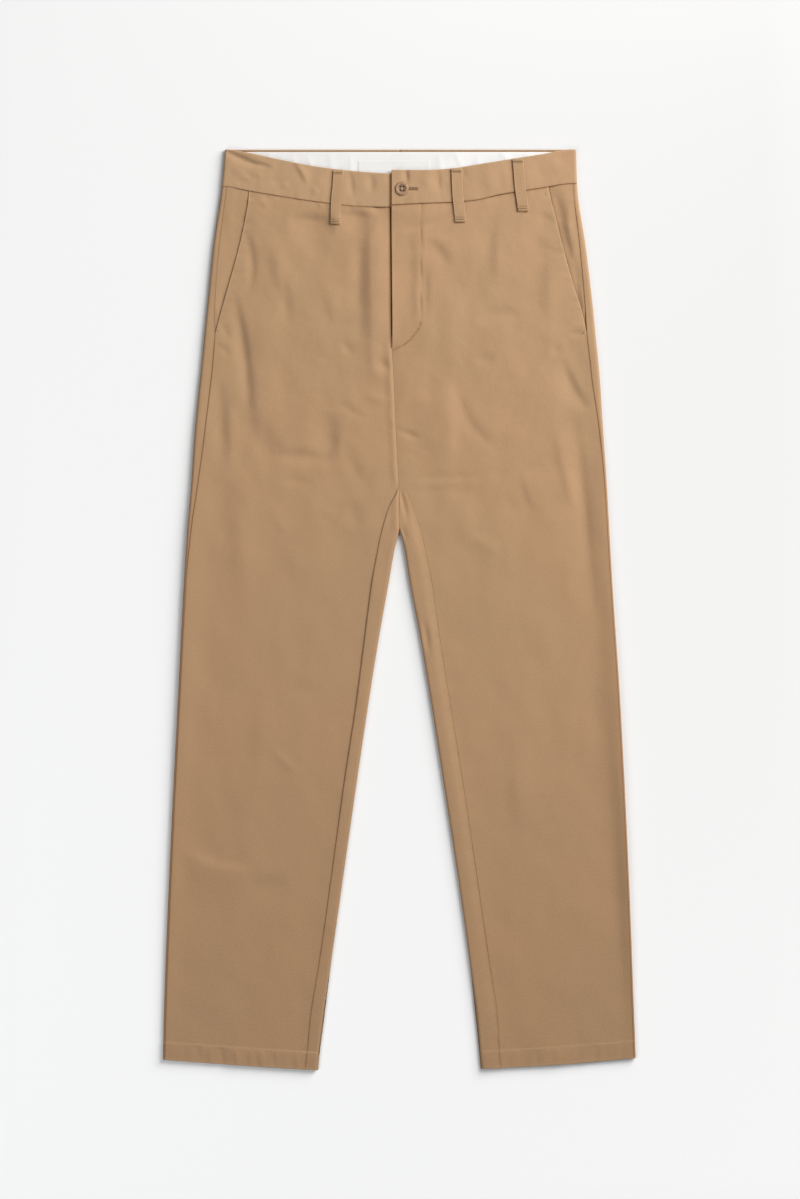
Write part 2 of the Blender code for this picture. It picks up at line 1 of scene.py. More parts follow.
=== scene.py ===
"""Straight-leg cotton chino trousers, laid flat with the front up: the finish of every piece.

Frame: metres, +Z up, +Y towards the waist. Left and right are the wearer's, so the right leg
lies at -X. Cloth is worked out in millimetres: "down" is the distance below the back waist edge
and "x" the distance from the centre line, as a cutter measures a garment on a table.
"""
import math

import bmesh
import bpy
import numpy as np
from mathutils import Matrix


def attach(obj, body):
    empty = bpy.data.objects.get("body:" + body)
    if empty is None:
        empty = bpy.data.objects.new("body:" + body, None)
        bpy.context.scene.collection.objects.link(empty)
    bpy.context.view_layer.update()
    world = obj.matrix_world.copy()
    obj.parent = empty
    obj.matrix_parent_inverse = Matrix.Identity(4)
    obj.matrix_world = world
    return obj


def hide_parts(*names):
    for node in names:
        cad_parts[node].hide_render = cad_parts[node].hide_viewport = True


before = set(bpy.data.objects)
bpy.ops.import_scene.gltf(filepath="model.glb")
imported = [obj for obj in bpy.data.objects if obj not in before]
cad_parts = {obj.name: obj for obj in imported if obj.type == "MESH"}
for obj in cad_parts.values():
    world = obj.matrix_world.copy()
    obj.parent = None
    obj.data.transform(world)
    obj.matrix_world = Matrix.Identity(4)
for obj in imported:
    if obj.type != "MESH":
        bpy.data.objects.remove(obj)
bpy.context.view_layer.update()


# --- Back legs -----------------------------------------------------------------------------
# Each back is one cut piece of cotton twill. It lies on the table, turns up round the outer edge
# to the side seam and, below the fork, round the inner edge to the inseam. The hem is turned up.
MM = 0.001
SIDES = {"right": -1.0, "left": 1.0}
TOTAL_LENGTH = 1104.0
SEAM_GAP = 0.12               # from cloth to cloth at a seam
FAR = 99.0                    # a distance past the reach of every edge and seam
ROLL = 3.0                    # how far in from a folded edge the cloth turns over it
CLOTH_WALL = 0.8
HEM_WALL, HEM_TAPER = 1.5, 2.0
HEM_DEPTH = 21.0
BACK_BAND_DEPTH = 43.0
FORK_DOWN, CORNER_DOWN = 400.6, 402.0
CROTCH_DOWN = 457.0


def table(columns, *rows):
    """Return {column name: array of its values}, with one value for each row."""
    return dict(zip(columns.split(), np.array(rows, float).T))


# Outer edges, and how far inside them each side seam lies on the front
OUTLINE = table(
    "down  right_outer  right_seam  left_seam  left_outer",
    (0,         -209.3,        6.0,       5.0,      211.9),
    (42,        -212.9,        6.0,       5.0,      213.1),
    (120,       -223.7,        7.0,       7.5,      223.9),
    (192,       -230.9,        9.0,       9.6,      232.3),
    (223,       -234.0,       12.5,      10.6,      235.3),
    (264,       -238.1,       13.5,      10.2,      239.5),
    (336,       -245.3,       12.2,       5.0,      244.3),
    (402,       -249.8,        7.8,       2.8,      248.8),
    (457,       -254.6,        4.6,       2.4,      251.8),
    (520,       -258.5,        2.6,       2.3,      255.4),
    (660,       -265.7,        2.3,       2.3,      264.7),
    (860,       -275.6,        2.3,       2.3,      274.7),
    (1040,      -282.6,        2.3,       2.3,      281.6),
    (1104,      -284.0,        2.3,       2.3,      284.0),
)

# Inner edges of the legs, and the inseams that lie on the front.
# Above the fork an inner edge runs on past the centre line, where the legs have merged.
LEGS = table(
    "down  right_inseam  right_inner  left_inner  left_inseam",
    (380,          -0.7,        80.0,      -80.0,         0.4),
    (402,          -1.0,        50.0,      -50.0,         2.0),
    (412,          -3.6,        38.0,      -38.0,         9.0),
    (425,         -11.0,        24.0,      -24.0,        15.1),
    (440,         -16.5,        10.0,      -10.0,        20.6),
    (457,         -21.2,         0.0,        0.0,        25.6),
    (468,         -23.8,        -2.9,        3.6,        28.2),
    (480,         -26.2,        -5.9,        6.1,        31.0),
    (520,         -33.4,       -12.9,       12.5,        38.9),
    (580,         -41.3,       -23.6,       24.0,        47.6),
    (660,         -51.5,       -36.5,       37.4,        60.2),
    (760,         -66.5,       -51.3,       52.9,        76.3),
    (860,         -80.1,       -65.6,       68.2,        91.2),
    (972,         -95.8,       -81.6,       84.0,       107.4),
    (1040,       -106.6,       -91.6,       92.8,       117.3),
    (1080,       -110.4,       -96.6,       96.6,       119.6),
    (1104,       -113.4,       -98.4,       99.1,       122.0),
)

# Each hem's lower edge: at the inseam, at the side, and how far it bows down between them
HEM_ENDS = {"right": (1104.0, 1091.3, 0.6), "left": (1102.4, 1089.3, 1.6)}
HEM_INNER_X, HEM_OUTER_X = 98.4, 284.0

# Waistband's front: its top edge and the seam below it, across each half
BANDS = {
    "right": table(
        "x        top  seam",
        (-213.0,  0.0, 44.9),
        (-207.0,  0.0, 44.9),
        (-188.0,  2.6, 48.4),
        (-143.0, 12.0, 56.0),
        (-98.0,  20.6, 62.8),
        (-48.5,  26.4, 68.2),
        (-11.3,  28.7, 69.2),
        (30.0,   29.2, 69.2),
    ),
    "left": table(
        "x       top  seam",
        (-9.5,  24.5, 67.0),
        (28.0,  24.7, 65.0),
        (62.0,  22.8, 63.6),
        (90.0,  18.5, 61.0),
        (122.0, 13.4, 54.0),
        (168.0,  6.2, 46.8),
        (207.0,  0.0, 41.4),
        (213.5,  0.0, 41.4),
    ),
}
BAND_SIDE_X = 206.0

# Height of the top of the cloth above the table away from the edges, and how far the turned
# edges stand above it: beside the inseams, and at the outer edges with how far in they reach
STACK = table(
    "down  middle  inner  right_outer  right_reach  left_outer  left_reach",
    (45,      6.0,   0.0,         0.0,        16.0,        0.0,       16.0),
    (150,     5.6,   0.2,         0.3,        16.0,        0.3,       16.0),
    (221,     5.3,   0.7,         0.8,        16.0,        0.6,       15.0),
    (264,     4.6,   1.4,         1.4,        17.0,        1.0,       14.0),
    (336,     4.3,   1.9,         2.2,        20.0,        1.6,       13.0),
    (457,     4.4,   1.8,         3.2,        24.0,        2.8,       15.0),
    (560,     4.0,   1.8,         3.5,        25.0,        4.6,       18.0),
    (700,     3.9,   1.7,         3.2,        21.0,        5.4,       17.0),
    (800,     3.8,   1.6,         2.6,        17.0,        5.2,       13.0),
    (940,     3.9,   1.4,         2.0,        15.0,        4.3,       11.0),
    (1010,    4.0,   1.4,         1.5,        14.0,        2.2,       10.0),
    (1078,    4.5,   0.8,         0.9,        14.0,        0.8,       10.0),
    (1104,    4.7,   0.4,         0.5,        14.0,        0.4,       10.0),
)
INNER_REACH = 17.0

# Seam allowances pressed to one side lift the cloth beside the inseams. On the right leg the
# strip steps up from the front over a width; on the left leg a round ridge runs along the seam.
INSEAM_LIFT = table(
    "down  right  right_width  left  left_shade",
    (380,    0.3,         1.2,  0.0,        0.0),
    (402,    0.4,         1.3,  0.8,        0.0),
    (480,    0.7,         1.6,  1.3,        0.1),
    (520,    1.2,         2.6,  1.2,        0.2),
    (780,    1.1,         2.4,  1.1,        0.3),
    (860,    0.5,         1.6,  0.9,        0.6),
    (1040,   0.4,         1.4,  0.4,        0.9),
    (1104,   0.3,         1.4,  0.2,        0.9),
)

# How far the left half is lifted where it laps over the right one at the fly
FLY_LIFT = table(
    "down  lift",
    (0,     1.9),
    (72,    1.9),
    (90,    1.1),
    (215,   0.9),
    (248,   0.0),
)
LIFT_FULL_X, LIFT_END_X = 30.0, 58.0
EDGE_CALM = 9.0               # folds die away over this distance from an edge
EDGE_FADE = 3.0               # and the lifts and puckers beside an inseam over this one

# Right leg's step at the inseam and left leg's ridge beside it
INSEAM_EASE = 12.0
STRIP_SLACK, STRIP_SLACK_WIDTH = 0.6, 12.0
LEFT_RIDGE_SHIFT, LEFT_RIDGE_REACHES = 10.0, (9.0, 6.2)

# Soft folds of the legs: the run from one end to the other, how far it bows to its plus side,
# the half width on each side and the rise. The plus side of a fold that runs down is the wearer's
# left, and of one that runs to the wearer's left it is the waist side.
FOLDS = table(
    "x0    down0    x1  down1  bow  minus  plus  rise",
    (-201,   164, -180,   322,   4,    10,    6, -3.1),
    (-216,   262, -213,   396,   0,     9,    7, -1.3),
    (-203,   298, -200,   389,   0,     6,   11,  1.1),
    (-170,   250, -165,   354,   0,    10,   34,  1.9),
    (-191,   352, -185,   575,  -2,    17,   20,  2.1),
    (-89,    312,  -85,   384,   1,    17,   14, -2.4),
    (-74,    318,  -69,   374,   0,     6,   12,  0.8),
    (-70,    346,  -40,   408,  -2,     8,    9, -1.0),
    (-152,   366,  -80,   373,   1,    10,    8, -2.3),
    (-140,   395, -104,   400,   0,     6,    6, -0.8),
    (-180,   318, -150,   388,   2,    18,   18, -1.0),
    (-77,    302,  -39,   325,   0,     6,    6, -1.1),
    (-41,    296,  -12,   300,   0,     6,    6,  1.1),
    (-32,    257,   -9,   265,   0,     6,    6, -0.8),
    (-155,   424, -136,   464,   0,     7,    8,  0.7),
    (-98,    430,  -75,   439,   0,     6,    6,  0.6),
    (-57,    418,  -50,   458,   0,    10,    8, -1.1),
    (-130,   472, -123,   518,   0,    11,   13,  0.8),
    (-171,   658, -168,   773,   4,    12,   31,  1.1),
    (-156,   716, -121,   750,   0,     5,    5,  0.7),
    (-140,   646,  -95,   647,   0,    11,   11, -0.6),
    (-260,   840, -172,   865, -10,    24,    8,  2.2),
    (-182,   884, -130,   880,   0,    22,    8, -1.2),
    (-134,    86,  -76,    90,   2,    22,    8, -3.7),
    (-76,     80,  -26,    86,   2,    20,    7, -3.0),
    (-186,    94, -180,   172,   6,     7,    5, -1.7),
    (-181,    50, -176,    61,   0,     3,    3, -0.7),
    (-161,    54, -157,    62,   0,     3,    3, -0.8),
    (-171,    66, -156,    78,   1,     4,    4, -0.6),
    (-98,     63,  -91,    70,   0,     3,    3,  0.8),
    (-42,     66,  -12,    69,   0,    13,    3, -0.9),
    (-219,   217, -202,   210,   0,     3,    3, -0.8),
    (-218,   230, -206,   236,   0,     3,    3,  0.6),
    (-140,   150, -134,   214,   1,     8,    6, -1.0),
    (-165,    56, -159,    84,   0,     5,    6,  0.6),
    (-214,   210, -202,   229,   0,     5,    5, -1.1),
    (-215,   233, -203,   250,   0,     5,    5, -0.8),
    (-149,   104, -132,   184,  -4,     9,   15,  1.8),
    (-84,    163,  -77,   209,   0,     8,   14,  1.1),
    (-47,    104,  -47,   232,  -2,    10,    7, -1.4),
    (-35,     42,  -30,   285,   0,     9,   20,  3.1),
    (-70,    229,  -56,   247,   0,     6,    6, -1.1),
    (-30,    247,  -11,   265,   0,     6,    6, -1.1),
    (14,     103,   14,   212,   0,    11,    5, -1.1),
    (31,     136,   31,   208,   0,     7,    5, -1.6),
    (-6,      95,   62,    75,  -6,     5,    5, -1.0),
    (31,     108,   60,   140,   2,    11,    8, -1.8),
    (43,     104,   72,   137,   0,    11,   13,  1.1),
    (120,     84,  117,   164,   0,     7,   16,  1.7),
    (146,     98,  147,   134,   0,    10,   11,  0.6),
    (182,    120,  181,   206,   0,     9,   18,  1.7),
    (158,     98,  188,   114,   0,     8,   10,  0.9),
    (164,     80,  186,    84,   0,     6,    4, -0.9),
    (90,     204,  146,   198,   4,    10,    9, -1.5),
    (60,     160,   60,   286,   0,    16,   17,  2.3),
    (55,     262,   60,   388,   0,    20,   12,  2.2),
    (22,     279,   40,   302,   2,     8,    7, -0.9),
    (29,     268,   46,   292,   0,     8,    6, -0.9),
    (68,     272,  128,   366, -16,    10,    5, -1.1),
    (80,     274,  128,   350, -12,     7,   16,  0.8),
    (-3,     336,   26,   347,   0,     4,    4, -1.3),
    (194,    250,  226,   313,  -4,    14,    6, -2.8),
    (209,    308,  234,   560,   0,    12,    8, -2.4),
    (188,    334,  213,   436,  -2,     7,   11,  1.7),
    (146,    379,  165,   437,   0,     6,   18,  1.3),
    (0,      393,  110,   391,  -1,     6,    6, -0.7),
    (10,     409,  100,   408,  -1,     5,    6, -0.5),
    (75,     414,   80,   478,   0,    16,   13,  1.4),
    (82,     462,  122,   486,   0,     7,    8,  0.9),
    (121,    410,  145,   442,   0,    10,    7, -0.8),
    (90,     253,  117,   252,   0,     7,    7, -1.1),
    (180,    240,  196,   242,   0,     7,    7, -0.8),
    (202,    221,  224,   222,   0,     4,    4, -1.1),
    (138,    700,  146,   826,   0,    10,   20,  1.1),
    (86,     676,   87,   734,   0,     8,   14,  0.6),
    (30,     562,   35,   606,   0,     4,    3, -2.8),
    (-1,     404,   10,   448,   1,     3,    3, -1.8),
    (3,      451,    8,   473,   0,     4,    3, -3.2),
    (202,    487,  205,   547,   0,    10,   11,  0.6),
)

# Puckers of the turned hems, as in the table of folds, with "down" measured from the stitching
HEM_FOLDS = table(
    "x0    down0    x1  down1  bow  minus  plus   rise",
    (-268,    -6, -264,    34,   0,     5,    6,  0.35),
    (-243,    -8, -240,    20,   0,     4,    3, -0.60),
    (-227,    -3, -226,    32,   0,     3,    4,  0.80),
    (-214,    -8, -211,    30,   0,     5,    4, -0.85),
    (-197,    -4, -194,    32,   1,     3,    4,  1.00),
    (-178,    -6, -176,    34,   0,     4,    4,  0.60),
    (-166,    -4, -163,    33,   0,     4,    5,  0.90),
    (-152,     2, -150,    24,   0,     3,    3, -0.60),
    (-124,    -4, -121,    32,   0,     3,    5,  0.80),
    (140,     -6,  143,    30,   0,     6,    5,  0.45),
    (166,     -2,  165,    22,   0,     4,    4, -0.40),
    (192,     -5,  190,    32,   0,     6,    7,  0.40),
    (236,     -6,  234,    28,   0,     5,    5, -0.45),
    (262,     -2,  259,    30,   0,     6,    5,  0.35),
)

# Waviness left by washing and pressing: wavelength, rise and heading from the leg's length
WAVINESS = table(
    "wavelength   rise  heading",
    (24,         0.018,      10),
    (31,         0.028,     -25),
    (43,         0.040,      35),
    (57,         0.070,     -12),
    (74,         0.100,      18),
    (97,         0.120,     -32),
    (131,        0.170,       8),
    (52,         0.030,      70),
    (88,         0.045,     -75),
)
WAVE_SWING, WAVE_SWING_LENGTH = 0.35, 190.0
WAVE_START = 1.7

# Soft creasing of a washed cloth: size of its cells, rise, and heading from the leg's length
CRUMPLE = table(
    "width  length  rise  heading",
    (31,        82, 0.66,       9),
    (18,        46, 0.40,     -13),
    (12,        28, 0.22,      21),
    (22,        36, 0.27,     -62),
    (8,         14, 0.13,      40),
    (11,         7, 0.09,      24),
)
LATTICE = 61
CRUMPLE_SEED = 3
LEG_CRUMPLE, LEG_CRUMPLE_EASE = 0.4, (380, 540)

# A fold's width at its ends as a share of its full width, and how early it fades towards them
FOLD_END_WIDTH = 0.4
FOLD_FADE = 1.3

# The hem's step up below its stitching: how high, where it rises and where it sinks again
HEM_RISES = {"right": 0.8, "left": 0.5}
HEM_STEP_EASE = (-1.6, 1.2)
HEM_SLACK, HEM_SLACK_START = 0.6, 3.0
HEM_PUCKER_EASE = (-1.0, 4.0)

# Puckers along a seam, as the sum of sines whose lengths share no common measure
PUCKERS = table(
    "share  pace  start",
    (1.0,    1.0,   1.0),
    (0.8,   1.62,   2.1),
    (0.6,   0.57,  -1.0),
)
HEM_PUCKERS = (0.14, 17.0, 0.7)


def along(columns, name, at, key="down"):
    """Smooth curve through one column of a table, with no overshoot (monotone cubic)."""
    place, value = columns[key], columns[name]
    step = np.diff(place)
    slope = np.diff(value) / step
    product = slope[:-1] * slope[1:]
    total = np.where(product > 0, slope[:-1] + slope[1:], 1.0)
    tangent = np.concatenate((slope[:1], np.where(product > 0, 2 * product / total, 0.0), slope[-1:]))
    at = np.clip(at, place[0], place[-1])
    index = np.clip(np.searchsorted(place, at, side="right") - 1, 0, len(step) - 1)
    u = (at - place[index]) / step[index]
    start = value[index] * (1 - u) ** 2 * (1 + 2 * u) + tangent[index] * step[index] * u * (1 - u) ** 2
    end = value[index + 1] * u ** 2 * (3 - 2 * u) - tangent[index + 1] * step[index] * u ** 2 * (1 - u)
    return start + end


def ease(value, low, high):
    """0 below low, 1 above high and a smooth step between them."""
    u = np.clip((value - low) / (high - low), 0.0, 1.0)
    return u * u * (3 - 2 * u)


def fall(distance, reach, depth):
    """Drop of a rounded edge: a quarter ellipse, full at the border and gone at reach inside it."""
    u = 1 - np.clip(distance / reach, 0.0, 1.0)
    return depth * (1 - np.sqrt(1 - u * u))


def bell(distance, height, width):
    """Soft ridge about a line: its full height on it, and a Gaussian's fall on both sides."""
    return height * np.exp(-(distance / width) ** 2)


def mark(distance, height, width):
    """Sharp mark beside a line: its full height on it, dying away exponentially from it."""
    return height * np.exp(-distance / width)


def ripple(distance, rise, wavelength, start):
    """Uneven puckers along a seam: a sum of sines, each with its own pace and start."""
    turn = 2 * math.pi * distance / wavelength
    waves = (share * np.sin(pace * turn + first * start) for share, pace, first in zip(*PUCKERS.values()))
    return rise * sum(waves) / PUCKERS["share"].sum()


def turned(x, down, heading):
    """Distances across and along a heading, which is in degrees from the leg's length."""
    lean = math.radians(heading)
    return x * math.cos(lean) + down * math.sin(lean), down * math.cos(lean) - x * math.sin(lean)


def outer_edge(side, down):
    return along(OUTLINE, side + "_outer", down)


def side_seam(side, down):
    return outer_edge(side, down) - SIDES[side] * along(OUTLINE, side + "_seam", down)


def inseam(side, down):
    return along(LEGS, side + "_inseam", down)


def inner_edge(side, down):
    """Inner edge of a leg; above the fork, the centre line less half the seam's gap."""
    reach = SIDES[side] * along(LEGS, side + "_inner", down)
    return SIDES[side] * np.maximum(reach, SEAM_GAP / 2)


def hem_line(side, x):
    """The hem's lower edge: nearly straight, lower at the inseam than at the side."""
    low, high, bow = HEM_ENDS[side]
    share = np.clip((abs(x) - HEM_INNER_X) / (HEM_OUTER_X - HEM_INNER_X), 0.0, 1.0)
    return low + (high - low) * share + bow * np.sin(math.pi * share)


def back_band_seam(side, x):
    """The seam under the waistband's back, from its height at the side to the centre back."""
    at_side = BANDS[side]["seam"][0 if side == "right" else -1]
    return BACK_BAND_DEPTH + (at_side - BACK_BAND_DEPTH) * np.clip(abs(x) / BAND_SIDE_X, 0.0, 1.0)


# Rows down a panel: close together at the waist seam, the hem's stitching and the cut edge. They
# bend to follow the waist seam above SECOND_WAIST_ROW, and the hem from HEM_ROWS_START on.
FIRST_ROW = 45.0
WAIST_STEPS = np.array((0, 0.25, 0.6, 1.1, 1.8, 2.8, 4.2, 6.0, 8.0))
STITCH_STEPS = np.array((-4, -3, -2.2, -1.5, -0.9, -0.4, 0, 0.4, 0.9, 1.5, 2.2, 3, 4))
HEM_EDGE_STEPS = np.array((1.4, 0.9, 0.5, 0.2, 0))
HIP_ROW_STEP, LEG_ROW_STEP, HEM_ROW_STEP = 2.0, 3.4, 1.5
SECOND_WAIST_ROW = 200.0
HEM_ROWS_START, HEM_ROWS_FULL = 960.0, 1060.0
SETTLE_PASSES = 4
STITCH_ROW = TOTAL_LENGTH - HEM_DEPTH
ROWS = np.concatenate((
    FIRST_ROW + WAIST_STEPS,
    np.arange(FIRST_ROW + 10, FORK_DOWN - 0.4, HIP_ROW_STEP), (FORK_DOWN, CORNER_DOWN),
    np.arange(CORNER_DOWN + 1.5, STITCH_ROW - 5, LEG_ROW_STEP),
    STITCH_ROW + STITCH_STEPS,
    np.arange(STITCH_ROW + 5.5, TOTAL_LENGTH - 2, HEM_ROW_STEP),
    TOTAL_LENGTH - HEM_EDGE_STEPS,
))


def settle_rows(side, x_at, upper, rows):
    """Bend the rows to follow the waist seam at the top and the hem at the bottom.

    x_at gives the columns' x for a grid of downs, and each column keeps its own line.
    """
    near_waist = 1 - ease(rows, ROWS[0], SECOND_WAIST_ROW)
    near_hem = ease(rows, HEM_ROWS_START, HEM_ROWS_FULL)
    down = np.repeat(rows[:, None], upper.shape[-1], axis=1)
    for _ in range(SETTLE_PASSES):
        x = x_at(down)
        front = along(BANDS[side], "seam", x, key="x")
        seam = np.where(upper, front, back_band_seam(side, x)) + SEAM_GAP
        down = rows[:, None] + near_waist[:, None] * (seam - ROWS[0])
        down = down + near_hem[:, None] * (hem_line(side, x) - ROWS[-1])
    return x_at(down), down


def fold_relief(rows, x, down):
    """Sum of folds: bells with their own width on each side of a bowed line, fading at its ends."""
    relief = np.zeros(np.broadcast(x, down).shape)
    for x0, down0, x1, down1, bow, minus, plus, rise in zip(*rows.values()):
        run_x, run_down = x1 - x0, down1 - down0
        length = math.hypot(run_x, run_down)
        share = ((x - x0) * run_x + (down - down0) * run_down) / length ** 2
        middle = np.clip(4 * share * (1 - share), 0.0, 1.0)
        across = ((x - x0) * run_down - (down - down0) * run_x) / length - bow * middle
        width = np.where(across < 0, minus, plus) * (FOLD_END_WIDTH + (1 - FOLD_END_WIDTH) * np.sqrt(middle))
        relief += bell(across, rise * middle ** FOLD_FADE, width)
    return relief


def crumple(x, down):
    """Uneven soft creasing: heights drawn at random on leaning lattices, joined by smooth steps."""
    relief = np.zeros(np.broadcast(x, down).shape)
    for order, (width, length, rise, heading) in enumerate(zip(*CRUMPLE.values())):
        heights = np.random.default_rng(CRUMPLE_SEED + order).uniform(-1, 1, (LATTICE, LATTICE))
        across, along_it = turned(x, down, heading)
        across, along_it = across / width + LATTICE, along_it / length + LATTICE
        column, row = np.floor(across).astype(int), np.floor(along_it).astype(int)
        u, v = ease(across - column, 0, 1), ease(along_it - row, 0, 1)
        near, far = (heights[(row + step) % LATTICE, column % LATTICE] * (1 - u)
                     + heights[(row + step) % LATTICE, (column + 1) % LATTICE] * u for step in (0, 1))
        relief += rise * (near * (1 - v) + far * v)
    return relief * (1 - (1 - LEG_CRUMPLE) * ease(down, *LEG_CRUMPLE_EASE))


def waviness(x, down):
    """Sum of long, low sines with uneven headings, each on a line that swings from side to side."""
    relief = np.zeros(np.broadcast(x, down).shape)
    for order, (wavelength, rise, heading) in enumerate(zip(*WAVINESS.values())):
        across, along_it = turned(x, down, heading)
        swing = WAVE_SWING * wavelength * np.sin(2 * math.pi * along_it / WAVE_SWING_LENGTH + order)
        relief += rise * np.sin(2 * math.pi * (across + swing) / wavelength + WAVE_START * order)
    return relief


def fly_lift(side, x, down):
    """How far the left half stands over the right half at the fly."""
    if side == "right":
        return np.zeros(np.broadcast(x, down).shape)
    return along(FLY_LIFT, "lift", down) * (1 - ease(x, LIFT_FULL_X, LIFT_END_X))


def edge_distances(side, x, down):
    """Distances in from the outer edge and from the inner edge of a leg."""
    sign = SIDES[side]
    return sign * (outer_edge(side, down) - x), sign * (x - along(LEGS, side + "_inner", down))


def hem_step(side, x, down):
    """The turned hem stands a little above the leg from its stitching down, and puckers."""
    below = down - (hem_line(side, x) - HEM_DEPTH)
    step = ease(below, *HEM_STEP_EASE) - HEM_SLACK * ease(below, HEM_SLACK_START, HEM_DEPTH)
    puckers = fold_relief(HEM_FOLDS, x, below) + ripple(x, *HEM_PUCKERS)
    return HEM_RISES[side] * step + puckers * ease(below, *HEM_PUCKER_EASE)


def inseam_lift(side, x, down):
    """Lift beside an inseam: a step up on to the right leg's strip, or the left leg's round ridge."""
    signed = x - inseam(side, down)
    at_seam = ease(down, CORNER_DOWN, CORNER_DOWN + INSEAM_EASE)
    if side == "left":
        reach = np.where(signed < -LEFT_RIDGE_SHIFT, *LEFT_RIDGE_REACHES)
        return at_seam * bell(signed + LEFT_RIDGE_SHIFT, along(INSEAM_LIFT, "left", down), reach)
    width = along(INSEAM_LIFT, "right_width", down)
    slack = STRIP_SLACK * ease(signed, width, width + STRIP_SLACK_WIDTH)
    return at_seam * along(INSEAM_LIFT, "right", down) * (ease(signed, -width / 2, width / 2) - slack)


def cloth_height(side, x, down):
    """Top of the cloth above the table: the plies, a fuller rim near the edges, and the folds."""
    from_outer, from_inner = (np.maximum(distance, 0) for distance in edge_distances(side, x, down))
    outer_rim = bell(from_outer, along(STACK, side + "_outer", down), along(STACK, side + "_reach", down))
    inner_rim = bell(from_inner, along(STACK, "inner", down), INNER_REACH)
    relief = fold_relief(FOLDS, x, down) + waviness(x, down) + crumple(x, down)
    relief = relief * (1 - mark(np.minimum(from_outer, from_inner), 1.0, EDGE_CALM))
    height = along(STACK, "middle", down) + np.maximum(outer_rim, inner_rim) + relief
    height = height + fly_lift(side, x, down) + hem_step(side, x, down)
    return height + inseam_lift(side, x, down) * (1 - mark(from_inner, 1.0, EDGE_FADE))


def skin(side, x, down, upper, wall, height, sink=0.0):
    """Outer and inner points of a wall on the top (upper) or the underside of the garment.

    The section is flat away from the edges, and half an ellipse where it turns over them.
    """
    x, down, upper, wall, height, sink = np.broadcast_arrays(x, down, upper, wall, height, sink)
    from_outer, from_inner = edge_distances(side, x, down)
    near = np.clip(np.minimum(from_outer, from_inner) / ROLL, 0.0, 1.0)
    towards = np.where(from_outer < from_inner, SIDES[side], -SIDES[side])
    facing = np.where(upper, 1.0, -1.0)
    turn = np.arccos(1 - near)
    z = height / 2 * (1 + facing * np.sin(turn))
    normal_x = towards * np.cos(turn) / ROLL
    normal_z = facing * np.sin(turn) / (height / 2)
    length = np.hypot(normal_x, normal_z)
    normal = np.stack((normal_x / length, np.zeros(x.shape), normal_z / length), axis=-1)
    surface = np.stack((x, down, z), axis=-1)
    return surface - normal * sink[..., None], surface - normal * wall[..., None]


def cloth_wall(side, x, down):
    """Cloth's thickness, more where the hem is turned up inside."""
    below = down - (hem_line(side, x) - HEM_DEPTH)
    return CLOTH_WALL + (HEM_WALL - CLOTH_WALL) * ease(below, -HEM_TAPER, HEM_TAPER)


def weave_places(surface):
    """Each point's place on its cut piece: the way along the cloth across it, and down it."""
    across = np.cumsum(np.linalg.norm(np.diff(surface, axis=1, prepend=surface[:, :1]), axis=2), axis=1)
    across -= across[:, across.shape[1] // 2, None]
    return np.stack((across, -surface[..., 1]), axis=-1) * MM


def shell(name, patches, finish):
    """Make one closed wall of cloth from patches of (outer, inner, wear and shade) grids.

    Patches join where their outer points meet, and every free border gets a rim. The third grid is 1 on
    rubbed edges and -1 where shade is painted: in ditches and under raised edges. The UV map holds each
    point's place on its cut piece.
    """
    outer = np.concatenate([patch[0].reshape(-1, 3) for patch in patches])
    inner = np.concatenate([patch[1].reshape(-1, 3) for patch in patches])
    rubbing_and_shade = np.concatenate([np.broadcast_to(patch[2], patch[0].shape[:2]).ravel() for patch in patches])
    weave = np.concatenate([weave_places(patch[0]).reshape(-1, 2) for patch in patches])
    corners, start = [], 0
    for patch in patches:
        rows, columns = patch[0].shape[:2]
        index = np.arange(start, start + rows * columns).reshape(rows, columns)
        quads = np.stack((index[:-1, :-1], index[:-1, 1:], index[1:, 1:], index[1:, :-1]), axis=-1)
        corners.append(quads.reshape(-1, 4))
        start += rows * columns
    corners = np.concatenate(corners)
    _, first, number = np.unique(np.round(outer, 3) + 0.0, axis=0, return_index=True, return_inverse=True)
    number = number.reshape(-1)
    count = len(first)
    ahead = np.roll(corners, -1, axis=1)
    free = ~np.isin(number[corners] * count + number[ahead], number[ahead] * count + number[corners])
    a, b = corners[free], ahead[free]
    rim = np.stack((b, a, a + start, b + start), axis=-1)
    corners = np.concatenate((corners, corners[:, ::-1] + start, rim))
    number = np.concatenate((number, number + count))
    points = np.concatenate((outer[first], inner[first])) * MM
    points[:, 1] = TOTAL_LENGTH * MM / 2 - points[:, 1]
    mesh = bpy.data.meshes.new(name)
    mesh.vertices.add(len(points))
    mesh.vertices.foreach_set("co", points.ravel())
    mesh.loops.add(corners.size)
    mesh.loops.foreach_set("vertex_index", number[corners].ravel())
    mesh.polygons.add(len(corners))
    mesh.polygons.foreach_set("loop_start", np.arange(0, corners.size, 4))
    mesh.update(calc_edges=True)
    mesh.uv_layers.new(name="weave").data.foreach_set("uv", weave[corners % start].ravel())
    wear_and_shade = mesh.attributes.new("wear_and_shade", "FLOAT", "POINT")
    wear_and_shade.data.foreach_set("value", np.concatenate((rubbing_and_shade[first], rubbing_and_shade[first])))
    return add_piece(name, mesh, finish)


def add_piece(name, mesh, finish):
    """Put a mesh in the scene, shaded smooth and with its faces outwards, in its own finish."""
    model = bmesh.new()
    model.from_mesh(mesh)
    bmesh.ops.recalc_face_normals(model, faces=model.faces)
    model.to_mesh(mesh)
    model.free()
    mesh.shade_smooth()
    mesh.materials.append(finish)
    piece = bpy.data.objects.new(name, mesh)
    bpy.context.scene.collection.objects.link(piece)
    return piece


def linear(colour):
    """Linear RGBA of an sRGB hex colour."""
    value = np.array([int(colour[place:place + 2], 16) for place in (1, 3, 5)]) / 255
    return (*np.where(value <= 0.04045, value / 12.92, ((value + 0.055) / 1.055) ** 2.4), 1.0)


